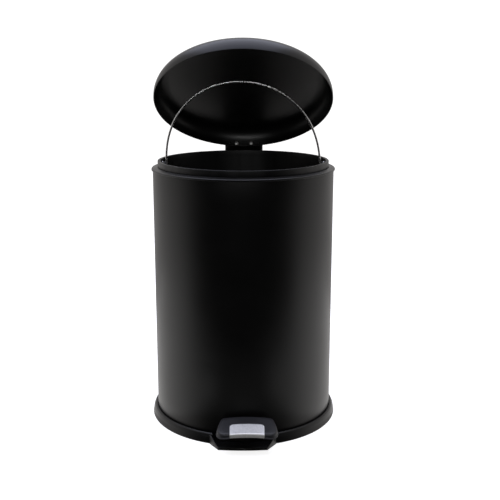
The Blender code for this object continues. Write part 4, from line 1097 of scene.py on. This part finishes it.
def make_lid_rivet(name, x, sizes):
    """A low dark rivet head."""
    height = 0.0011
    shank = 0.0016
    length = 0.006
    profile = [(0, height)] + arc((0.0012, 0.0), height, 85, 0, 6)
    rivet = lathe(name, profile + [(shank, 0), (shank, -length), (0, -length)], SMALL_STEPS, closed=False)
    seat, inward = lid_seat(x, sizes)
    turn = inward.to_track_quat("Z", "Y").to_matrix().to_4x4()
    rivet.data.transform(Matrix.Translation(seat) @ turn)
    return rivet


def make_arm(sizes):
    """The bracket on the lid: a pad against its skirt, the barrel round the pin, and two cranks."""
    edge = lid_edge_height()
    pad_low = edge + 0.0008
    pad_high = edge + 0.013
    start = LID_RADIUS - 0.012
    hinge = (HINGE.y, HINGE.z)
    barrel_radius = 0.007
    outline = rounded([
        (start, pad_high),
        (LID_RADIUS + 0.007, pad_high, 0.004),
        *arc(hinge, barrel_radius, 62, -145, 28),
        (LID_RADIUS + 0.0017, pad_low),
        (start, pad_low),
    ], steps=6)
    arm = bevel(prism("hinge_arm_fine", outline, -ARM_HALF_WIDTH, ARM_HALF_WIDTH), 0.0013, 5)
    below = edge - 0.004
    lid_room = lid_outline(sizes, FIT, 10) + [(LID_RADIUS + FIT, below), (0, below)]
    cut(arm, lathe("lid_room", lid_room, closed=False))
    end = (HINGE.y - CRANK_LENGTH * math.cos(OPENING), HINGE.z - CRANK_LENGTH * math.sin(OPENING))
    crank_outline = capsule(hinge, end, 0.006, 0.0044)
    cranks = []
    for sign in (-1, 1):
        crank = prism("crank", crank_outline, *sorted((sign * 0.0038, sign * 0.0088)))
        cranks.append(bevel(crank, 0.0006, 3))
    join(arm, *cranks)
    pin_bore = bar("pin_bore", (-0.04, *hinge), (0.04, *hinge), PIN_BORE)
    crank_bore = bar("crank_bore", (-0.02, *end), (0.02, *end), CRANK_BORE)
    cut(arm, pin_bore, crank_bore)
    arm.data.transform(open_lid())
    return arm


def make_crank_pin():
    """A pin with a flat head at each end."""
    half = high("crank_pin").x
    head = 0.0034
    under = half - 0.0014
    profile = rounded([(0, half), (head, half, 0.0005), (head, under, 0.0002), (0.002, under)], 4, False)
    profile += [(r, -z) for r, z in reversed(profile)]
    pin = lathe("crank_pin_fine", profile, SMALL_STEPS, closed=False)
    pin.data.transform(Matrix.Translation(CRANK_PLACE) @ Matrix.Rotation(math.pi / 2, 4, "Y"))
    return pin


def housing_outline(inset=0.0):
    """The hinge cover's side view, (y, z), clockwise from the bottom at the shell."""
    start = SHELL_RADIUS - 0.012
    foot = SHELL_RADIUS + 0.008 - inset
    bend_z = SHELL_TOP - 0.050 + inset * 0.4
    back = HOUSING_BACK - inset
    bottom = HOUSING_FOOT + inset
    return [(start, bottom), (foot, bottom), (back, bend_z), (back, HOUSING_TOP), (start, HOUSING_TOP)]


def make_housing():
    """The moulded cover behind the shell, open on top for the lid's arm."""
    half = HOUSING_HALF_WIDTH
    wall = 0.0026
    side = housing_outline()
    side = rounded([side[0], side[1] + (0.006,), side[2] + (0.018,), *side[3:]], steps=8)
    cover = bevel(prism("hinge_housing_fine", side, -half, half), 0.0040, 7, angle=40)
    inside = housing_outline(wall)
    open_top = [(y, z + 0.004) for y, z in inside[3:]]
    inside = rounded([inside[0], inside[1] + (0.004,), inside[2] + (0.016,), *open_top], steps=6)
    cut(cover, bevel(prism("hollow", inside, -half + wall, half - wall), 0.0015, angle=40))
    foot_start = (-half + 0.001, SHELL_RADIUS - 0.010, HOUSING_FOOT + 0.0015)
    foot_end = (half - 0.001, SHELL_RADIUS + 0.006, HOUSING_FOOT + 0.0130)
    join(cover, block("foot", foot_start, foot_end))
    above, below = HOUSING_TOP + 0.006, HOUSING_FOOT - 0.01
    beside_collar, beside_shell = COLLAR_RADIUS + FIT, SHELL_RADIUS + NARROW
    can_side = [
        (0, above), (beside_collar, above), (beside_collar, SHELL_TOP),
        (beside_shell, SHELL_TOP), (beside_shell, below), (0, below),
    ]
    cut(cover, lathe("can_room", can_side, closed=False))
    reach = half + 0.001
    cutters = [bar("pin_bore", (-reach, HINGE.y, HINGE.z), (reach, HINGE.y, HINGE.z), PIN_BORE)]
    for _, sign in SIDES:
        seat = housing_screw_point(sign, SHELL_RADIUS + 0.0058)
        cutters.append(bar("seat", seat, housing_screw_point(sign, SHELL_RADIUS + 0.030), 0.0042))
    return cut(cover, *cutters)


def housing_screw_point(sign, radius):
    """A point on the line of one of the cover's two screws, by its distance from the can's axis."""
    angle = math.radians(9) * sign
    return Vector((radius * math.sin(angle), radius * math.cos(angle), HOUSING_FOOT + 0.0072))


def make_pin_cap(side, sign):
    """A push-on cap over the end of the hinge pin."""
    seat = Matrix.Translation((sign * (HOUSING_HALF_WIDTH + FIT), HINGE.y, HINGE.z))
    radius = 0.006
    edge = 0.0012
    top = 0.0040
    groove = top - 0.0004
    inside = 0.0024
    profile = [(0, top), (0.0022, top), (0.0025, groove), (0.0030, groove), (PIN_BORE, top)]
    profile += arc((radius - edge, top - edge), edge, 90, 0, 6)
    profile += [(radius, 0), (PIN_BORE, 0), (PIN_BORE, inside), (0, inside)]
    cap = lathe(f"hinge_pin_cap_fine_{side}", profile, SMALL_STEPS, closed=False)
    cap.data.transform(seat @ Matrix.Rotation(sign * math.pi / 2, 4, "Y"))
    return cap


# Pedal, lever and rod


def pedal_height(sizes, x, y):
    """The tread's upper surface: a slope to the front, crowned from side to side."""
    crown_radius = 0.260
    rear_z = 0.0500
    return rear_z - (PEDAL_HIGH.y - y) * math.tan(sizes.pedal_slope) - x * x / (2 * crown_radius)


def pedal_plan(inset):
    """The tread's plan, (x, y) from its own centre line, anticlockwise from the front."""
    front = PEDAL_LOW.y + inset
    rear = PEDAL_HIGH.y - inset
    corner = 0.014 - inset
    rear_corner = 0.007 - inset * 0.5
    wide = PEDAL_HALF_WIDTH - inset
    narrow = PEDAL_HALF_WIDTH - 0.0045 - inset
    lean = math.degrees(math.atan2(wide - narrow, 0.5 * PEDAL_DEPTH))
    right = [(wide * s, front) for s in (0.2, 0.45)]
    right += arc((wide - corner, front + corner), corner, -90, 0, 14)
    right += [(wide - (wide - narrow) * 0.35, (front + corner) * 0.45 + (rear - rear_corner) * 0.55)]
    right += arc((narrow - rear_corner, rear - rear_corner), rear_corner, lean, 90, 10)
    right += [(wide * s, rear) for s in (0.45, 0.2)]
    return right + [(-x, y) for x, y in reversed(right)]


def make_pedal(sizes):
    """A hollow tread: crowned top, rolled edge, and a skirt that steps out to a thin bottom rim."""
    centre_y = (PEDAL_LOW.y + PEDAL_HIGH.y) / 2
    skirt = 0.0070
    outside = [(0.0000, skirt), (0.0000, skirt - 0.0010), (0.0004, skirt - 0.0014), (0.0010, skirt - 0.0019)]
    outside += [(0.0010, 0.0032), (0.0012, 0.0020), (0.0018, 0.0010), (0.0027, 0.0003), (0.0040, 0.0)]
    inside = [(0.0022, skirt), (0.0030, 0.0040), (0.0034, 0.0026), (0.0050, 0.0022)]
    bm = bmesh.new()

    def loop(plan, drop):
        return [bm.verts.new((x, y, pedal_height(sizes, x, y) - drop)) for x, y in plan]

    def strip(first, second):
        for i in range(len(first)):
            j = (i + 1) % len(first)
            bm.faces.new((first[i], first[j], second[j], second[i]))

    rims = []
    for rings in (outside, inside):
        loops = [loop(pedal_plan(inset), drop) for inset, drop in rings]
        last_inset, last_drop = rings[-1]
        for share in (0.85, 0.7, 0.55, 0.4, 0.25, 0.12):
            plan = [(x * share, centre_y + (y - centre_y) * share) for x, y in pedal_plan(last_inset)]
            loops.append(loop(plan, last_drop))
        for first, second in zip(loops, loops[1:]):
            strip(first, second)
        bm.faces.new(loops[-1])
        rims.append(loops[0])
    strip(*rims)
    bmesh.ops.translate(bm, verts=bm.verts, vec=(PEDAL_X, 0, 0))
    half = LEVER_FOOT_HALF + 0.002
    notch_start = (PEDAL_X - half, PEDAL_HIGH.y - 0.0045, 0.020)
    notch_end = (PEDAL_X + half, PEDAL_HIGH.y + 0.004, PEDAL_HIGH.z - 0.0036)
    return cut(make_object("pedal_fine", bm, 40), block("notch", notch_start, notch_end))


def make_plate(sizes):
    """The steel tread plate: laid on the top and folded down over the front."""
    front = PEDAL_LOW.y
    depth = 0.0195
    rear = front + depth
    corner = 0.005
    half = sizes.plate_half_width
    fold_y = front + 0.001
    fold = 0.0022
    lip = 0.0060
    row_count = 8
    columns = 24
    rows = []
    for k in range(row_count + 1):
        s = corner * (1 - math.cos(math.radians(90) * k / row_count))
        left = corner - s
        rows.append((rear - s, FIT, half - corner + math.sqrt(corner**2 - left**2)))
    for k in range(1, row_count + 1):
        s = corner + (rear - fold_y - corner) * k / row_count
        rows.append((rear - s, FIT, half))
    for degrees in range(10, 91, 10):
        a = math.radians(degrees)
        rows.append((fold_y - fold * math.sin(a) * 0.8, FIT - fold * (1 - math.cos(a)), half))
    lip_y = rows[-1][0]
    rows += [(lip_y, FIT - lip * 0.7, half), (lip_y, FIT - lip, half - 0.0004)]
    bm = bmesh.new()
    grid = []
    for y, rise, width in rows:
        line = []
        for i in range(columns + 1):
            x = width * math.sin(math.pi / 2 * (2 * i / columns - 1))
            line.append(bm.verts.new((PEDAL_X + x, y, pedal_height(sizes, x, max(y, fold_y)) + rise)))
        grid.append(line)
    for first, second in zip(grid, grid[1:]):
        for i in range(columns):
            bm.faces.new((first[i], second[i], second[i + 1], first[i + 1]))
    bmesh.ops.remove_doubles(bm, verts=bm.verts, dist=0.000002)
    plate = make_object("pedal_plate_fine", bm, 50)
    sheet = plate.modifiers.new("Sheet", "SOLIDIFY")
    sheet.thickness = 0.0009
    sheet.offset = 1
    settle(plate, 40)
    return bevel(plate, 0.00025, 3, angle=50)


def lever_line(sizes):
    """The bar's middle, (y, z): level in the can, rising in front of it, then under the pedal."""
    foot_y = PEDAL_LOW.y + 0.010
    foot_z = pedal_height(sizes, 0, foot_y) - 0.0075
    crest_y = PEDAL_HIGH.y - 0.0045
    crest_z = foot_z + (crest_y - foot_y) * math.tan(sizes.pedal_slope)
    rear_y = ROD_Y + 0.0055
    bend_y = -SHELL_RADIUS - 0.0012
    return [(rear_y, LEVER_Z), (bend_y, LEVER_Z), (crest_y, crest_z), (foot_y, foot_z)]


def make_lever(sizes):
    """A flat bar bent twice, with a sleeve round the axle and a wide foot for the pedal."""
    half = LEVER_THICKNESS / 2
    line = [Vector(p) for p in lever_line(sizes)]
    upper, lower = [], []
    for i, point in enumerate(line):
        before = line[max(i - 1, 0)]
        after = line[min(i + 1, len(line) - 1)]
        heading = ((point - before).normalized() + (after - point).normalized()).normalized()
        first = (after - point) if i == 0 else (point - before)
        normal = Vector((heading.y, -heading.x))
        stretch = half / max(abs(normal.dot(Vector((first.y, -first.x)).normalized())), 0.5)
        bend_radius = 0.003 if 0 < i < len(line) - 1 else 0.0
        upper.append((*(point + normal * stretch), bend_radius))
        lower.append((*(point - normal * stretch), bend_radius))
    side = rounded(upper + lower[::-1], steps=6)
    lever = prism("lever_fine", side, -LEVER_HALF_WIDTH, LEVER_HALF_WIDTH)
    bevel(lever, 0.0007, 3, angle=50)
    foot_y, foot_z = line[-1]
    run = 0.021
    rise = run * math.tan(sizes.pedal_slope)
    foot_side = [
        (foot_y, foot_z + half), (foot_y + run, foot_z + rise + half),
        (foot_y + run, foot_z + rise - half), (foot_y, foot_z - half),
    ]
    foot = prism("foot", foot_side, PEDAL_X - LEVER_FOOT_HALF, PEDAL_X + LEVER_FOOT_HALF)
    bevel(foot, 0.0007, 3)
    sleeve_half = 0.0237
    sleeve = bar("sleeve", (-sleeve_half, PIVOT.y, PIVOT.z), (sleeve_half, PIVOT.y, PIVOT.z), 0.0055)
    join(lever, sleeve, foot)
    bore = bar("bore", (-0.03, PIVOT.y, PIVOT.z), (0.03, PIVOT.y, PIVOT.z), PIN_BORE)
    slot_radius = ROD_RADIUS + 0.0007
    slot_side = arc((0, ROD_Y + 0.0015), slot_radius, 0, 180, 12)
    slot_side += arc((0, ROD_Y - 0.0015), slot_radius, 180, 360, 12)
    slot = prism("slot", slot_side, LEVER_Z - 0.01, LEVER_Z + 0.01, axis="Z")
    return cut(lever, bore, slot)


def make_push_rod():
    """A bent round rod from under the lever to the eye round the crank pin."""
    step_top = CRANK_PLACE.z - ROD_STEP_DROP
    eye_y = CRANK_PLACE.y
    corners = [
        (0, ROD_Y, low("push_rod").z), (0, ROD_Y, step_top - ROD_STEP_HEIGHT),
        (0, eye_y, step_top), (0, eye_y, CRANK_PLACE.z - 0.0038),
    ]
    rod = wire("push_rod_fine", bend(corners, 0.005), ROD_RADIUS, end_round=False)
    pin_circle = 0.024
    reach = pin_circle * (1 - math.cos(OPENING))
    play = 0.0006

    def eye(size):
        corners = (
            (eye_y + reach, -play, -90), (eye_y + reach, play, 0), (eye_y, play, 90), (eye_y, -play, 180)
        )
        points = []
        for y, dz, start_angle in corners:
            points += arc((y, CRANK_PLACE.z + dz), size, start_angle, start_angle + 90, 8)
        return points

    loop = bevel(prism("eye", eye(0.0047), -0.003, 0.003), 0.0006, 3)
    join(rod, loop)
    return cut(rod, prism("eye_slot", eye(CRANK_BORE), -0.004, 0.004))


def make_rod_ring(node):
    """A pressed ring on the rod, with rounded edges."""
    start, end = low(node), high(node)
    bore = ROD_RADIUS + NARROW
    outer = (end.x - start.x) / 2
    height = end.z - start.z
    inside, edge = 0.0003, 0.0006
    profile = rounded([(bore, height, inside), (outer, height, edge), (outer, 0, edge), (bore, 0, inside)], 4)
    ring = lathe(node + "_fine", profile, SMALL_STEPS)
    ring.data.transform(Matrix.Translation((0, ROD_Y, start.z)))
    return ring


# Operators


class CAN_OT_shell(bpy.types.Operator):
    """Roll the steel shell, with its seam at the rear"""

    bl_idname = "trash_can.shell"
    bl_label = "Shell"

    def execute(self, context):
        shell = make_shell(context.scene.can_sizes)
        place_piece(shell, "can", "coated_steel", "outer_shell")
        return {"FINISHED"}


class CAN_OT_collar(bpy.types.Operator):
    """Mould the collar on the shell's top edge"""

    bl_idname = "trash_can.collar"
    bl_label = "Top collar"

    def execute(self, context):
        place_piece(make_collar(), "can", "black_plastic", "top_collar")
        return {"FINISHED"}


class CAN_OT_base(bpy.types.Operator):
    """Mould the base with its ring and pedal tray, and press in the rubber pads"""

    bl_idname = "trash_can.base"
    bl_label = "Base and pads"

    def execute(self, context):
        base = make_base(context.scene.can_sizes)
        place_piece(base, "can", "black_plastic", "base_pan")
        for number in PAD_NUMBERS:
            place_piece(make_pad(number), "can", "rubber", f"foot_pad_{number}")
        return {"FINISHED"}


class CAN_OT_bucket(bpy.types.Operator):
    """Mould the lift-out bucket and the two ears for its bail"""

    bl_idname = "trash_can.bucket"
    bl_label = "Bucket"

    def execute(self, context):
        bucket = make_bucket(context.scene.can_sizes)
        place_piece(bucket, "can", "bucket_plastic", "bucket")
        for side, sign in SIDES:
            place_piece(make_lug(side, sign), "can", "black_plastic", f"bail_lug_{side}")
        return {"FINISHED"}


class CAN_OT_bail(bpy.types.Operator):
    """Bend the wire bail of the bucket"""

    bl_idname = "trash_can.bail"
    bl_label = "Bail"

    def execute(self, context):
        bail = make_bail(context.scene.can_sizes)
        place_piece(bail, "bail_handle", "chromed_wire", "bail")
        return {"FINISHED"}


class CAN_OT_lid(bpy.types.Operator):
    """Press the domed lid and set its screws and rivets"""

    bl_idname = "trash_can.lid"
    bl_label = "Lid"

    def execute(self, context):
        sizes = context.scene.can_sizes
        place_piece(make_lid(sizes), "lid_assembly", "coated_steel", "lid")
        for side, sign in SIDES:
            fixing = make_lid_screw(f"lid_screw_fine_{side}", sign * LID_SCREW_X, sizes)
            place_piece(fixing, "lid_assembly", "stainless_steel", f"lid_screw_{side}")
            rivet = make_lid_rivet(f"lid_rivet_fine_{side}", sign * LID_RIVET_X, sizes)
            place_piece(rivet, "lid_assembly", "black_plastic", f"lid_rivet_{side}")
        return {"FINISHED"}


class CAN_OT_hinge(bpy.types.Operator):
    """Mould the hinge cover and the lid's arm, and fit the pins, caps and screws"""

    bl_idname = "trash_can.hinge"
    bl_label = "Hinge"

    def execute(self, context):
        sizes = context.scene.can_sizes
        place_piece(make_arm(sizes), "lid_assembly", "black_plastic", "hinge_arm")
        place_piece(make_crank_pin(), "lid_assembly", "zinc_steel", "crank_pin")
        place_piece(make_housing(), "can", "black_plastic", "hinge_housing")
        for side, sign in SIDES:
            place_piece(make_pin_cap(side, sign), "can", "black_plastic", f"hinge_pin_cap_{side}")
            place = housing_screw_point(sign, SHELL_RADIUS + 0.0064)
            outward = housing_screw_point(sign, 1.0) - housing_screw_point(sign, 0.0)
            fixing = screw(f"housing_screw_fine_{side}", place, outward)
            place_piece(fixing, "can", "zinc_steel", f"housing_screw_{side}")
        keep_node("hinge_pin", "zinc_steel")
        return {"FINISHED"}


class CAN_OT_pedal(bpy.types.Operator):
    """Mould the pedal, fold its steel plate and bend the lever"""

    bl_idname = "trash_can.pedal"
    bl_label = "Pedal and lever"

    def execute(self, context):
        sizes = context.scene.can_sizes
        place_piece(make_pedal(sizes), "pedal_assembly", "pedal_plastic", "pedal")
        place_piece(make_plate(sizes), "pedal_assembly", "stainless_steel", "pedal_plate")
        place_piece(make_lever(sizes), "pedal_assembly", "zinc_steel", "lever")
        for side, _ in SIDES:
            keep_node(f"pedal_screw_{side}", "zinc_steel")
        return {"FINISHED"}


class CAN_OT_rod(bpy.types.Operator):
    """Bend the push rod and finish its guides and the lever's bearings"""

    bl_idname = "trash_can.rod"
    bl_label = "Push rod and bearings"

    def execute(self, context):
        place_piece(make_push_rod(), "rod_assembly", "zinc_steel", "push_rod")
        for node in ("rod_stop_collar", "rod_end_clip"):
            place_piece(make_rod_ring(node), "rod_assembly", "zinc_steel", node)
        for node in ("rod_guide_lower", "rod_guide_upper"):
            keep_node(node, "black_plastic")
        keep_node("lever_axle", "zinc_steel")
        for side, _ in SIDES:
            for node in ("axle_clip", "pivot_bracket", "bracket_screw"):
                keep_node(f"{node}_{side}", "zinc_steel")
        return {"FINISHED"}


class CAN_OT_stage(bpy.types.Operator):
    """Lay the pale floor and set up the soft lights and the camera"""

    bl_idname = "trash_can.stage"
    bl_label = "Studio"

    def execute(self, context):
        studio = context.scene.can_studio
        make_floor(studio)
        make_world(studio)
        make_lights(studio)
        make_camera(studio)
        return {"FINISHED"}


# Studio


def make_floor(studio):
    """A round sheet of white paper that glows softly and throws no light on the can."""
    count = studio.floor_rings
    rings = [(studio.floor_size * (k / count) ** 2, 0) for k in range(count + 1)]
    floor = lathe("floor", rings, 64, closed=False)
    f = Finish("floor_paper", (0.90, 0.90, 0.90), 0.85)
    f.gloss(0.0)
    f.shader.inputs["Emission Color"].default_value = (1, 1, 1, 1)
    f.shader.inputs["Emission Strength"].default_value = studio.floor_glow
    f.rough(f.between(f.noise(90, 3), 0.80, 0.90))
    f.material.cycles.emission_sampling = "NONE"
    floor.data.materials.append(f.material)
    floor.visible_glossy = False
    floor.visible_diffuse = False


def make_world(studio):
    """A white background in a room that is bright behind the can and dark in front of it."""
    world = bpy.data.worlds.new("studio_air")
    world.use_nodes = True
    tree = world.node_tree
    tree.nodes.clear()
    rays = tree.nodes.new("ShaderNodeLightPath")
    white = tree.nodes.new("ShaderNodeBackground")
    white.inputs["Color"].default_value = (1, 1, 1, 1)
    white.inputs["Strength"].default_value = 1.15
    room = tree.nodes.new("ShaderNodeBackground")
    room.inputs["Color"].default_value = (*studio.room_colour, 1)
    heading = tree.nodes.new("ShaderNodeTexCoord")
    split = tree.nodes.new("ShaderNodeSeparateXYZ")
    fade = tree.nodes.new("ShaderNodeMapRange")
    fade.interpolation_type = "SMOOTHSTEP"
    fade.inputs["From Min"].default_value = studio.dark_to
    fade.inputs["From Max"].default_value = studio.bright_from
    fade.inputs["To Min"].default_value = studio.room_front
    fade.inputs["To Max"].default_value = studio.room_back
    mix = tree.nodes.new("ShaderNodeMixShader")
    out = tree.nodes.new("ShaderNodeOutputWorld")
    tree.links.new(heading.outputs["Generated"], split.inputs["Vector"])
    tree.links.new(split.outputs["Y"], fade.inputs["Value"])
    tree.links.new(fade.outputs["Result"], room.inputs["Strength"])
    tree.links.new(rays.outputs["Is Camera Ray"], mix.inputs["Fac"])
    tree.links.new(room.outputs["Background"], mix.inputs[1])
    tree.links.new(white.outputs["Background"], mix.inputs[2])
    tree.links.new(mix.outputs["Shader"], out.inputs["Surface"])
    bpy.context.scene.world = world


def add_light(name, place, target, size, brightness, colour=(1, 1, 1)):
    """A rectangle of soft light; its power follows from its size and brightness."""
    light = bpy.data.lights.new(name, "AREA")
    light.shape = "RECTANGLE"
    light.size, light.size_y = size
    light.energy = brightness * math.pi * size[0] * size[1]
    light.color = colour
    thing = bpy.data.objects.new(name, light)
    bpy.context.scene.collection.objects.link(thing)
    thing.location = place
    thing.rotation_euler = (Vector(target) - Vector(place)).to_track_quat("-Z", "Y").to_euler()
    thing.visible_camera = False


def make_lights(studio):
    """Panels on the floor beside and before the can, one overhead, and a strip above the camera."""
    up = Vector((0, 0, 1))
    cool = (0.74, 0.78, 1.0)
    for side, sign in SIDES:
        beside = Vector((sign * 0.57, 0.09, 0.004))
        add_light(f"low_{side}", beside, beside + up, (0.84, 0.90), studio.low_light)
    before = Vector((0, -0.34, 0.004))
    add_light("low_front", before, before + up, (0.9, 0.20), studio.low_light * 0.35)
    overhead = Vector((-0.2, 0.3, 2.0))
    add_light("top", overhead, overhead - up, (2.4, 2.4), studio.top_light, cool)
    add_light("front", (-0.1, -1.9, 1.15), (0, 0, 0.43), (1.4, 0.16), studio.front_light)


def make_camera(studio):
    """A camera a little above the lid, looking down at the can's middle."""
    camera = bpy.data.cameras.new("camera")
    camera.lens = studio.lens
    camera.sensor_width = 36
    thing = bpy.data.objects.new("camera", camera)
    bpy.context.scene.collection.objects.link(thing)
    thing.location = studio.camera_place
    thing.rotation_euler = (math.pi / 2 - studio.camera_pitch, 0, 0)
    bpy.context.scene.camera = thing
    bpy.context.scene.view_settings.view_transform = "Standard"


class CAN_PT_panel(bpy.types.Panel):
    """Lists the can's pieces, sizes and finishes"""

    bl_label = "Pedal trash can"
    bl_space_type = "VIEW_3D"
    bl_region_type = "UI"
    bl_category = "Trash can"

    def draw(self, context):
        layout = self.layout
        for operator in OPERATORS:
            layout.operator(operator.bl_idname)
        for name in ("can_sizes", "can_finishes", "can_studio"):
            group = getattr(context.scene, name)
            box = layout.box()
            for key in group.bl_rna.properties.keys():
                if key not in ("name", "rna_type"):
                    box.prop(group, key)


OPERATORS = (
    CAN_OT_stage,
    CAN_OT_shell,
    CAN_OT_collar,
    CAN_OT_base,
    CAN_OT_bucket,
    CAN_OT_bail,
    CAN_OT_lid,
    CAN_OT_hinge,
    CAN_OT_pedal,
    CAN_OT_rod,
)
GROUPS = (CanSizes, CanFinishes, StudioSettings)


def register():
    for group in GROUPS + OPERATORS + (CAN_PT_panel,):
        bpy.utils.register_class(group)
    bpy.types.Scene.can_sizes = PointerProperty(type=CanSizes)
    bpy.types.Scene.can_finishes = PointerProperty(type=CanFinishes)
    bpy.types.Scene.can_studio = PointerProperty(type=StudioSettings)


def unregister():
    del bpy.types.Scene.can_studio
    del bpy.types.Scene.can_finishes
    del bpy.types.Scene.can_sizes
    for group in reversed(GROUPS + OPERATORS + (CAN_PT_panel,)):
        bpy.utils.unregister_class(group)


def main():
    register()
    bpy.ops.trash_can.stage()
    bpy.ops.trash_can.shell()
    bpy.ops.trash_can.collar()
    bpy.ops.trash_can.base()
    bpy.ops.trash_can.bucket()
    bpy.ops.trash_can.bail()
    bpy.ops.trash_can.lid()
    bpy.ops.trash_can.hinge()
    bpy.ops.trash_can.pedal()
    bpy.ops.trash_can.rod()


if __name__ == "__main__":
    main()
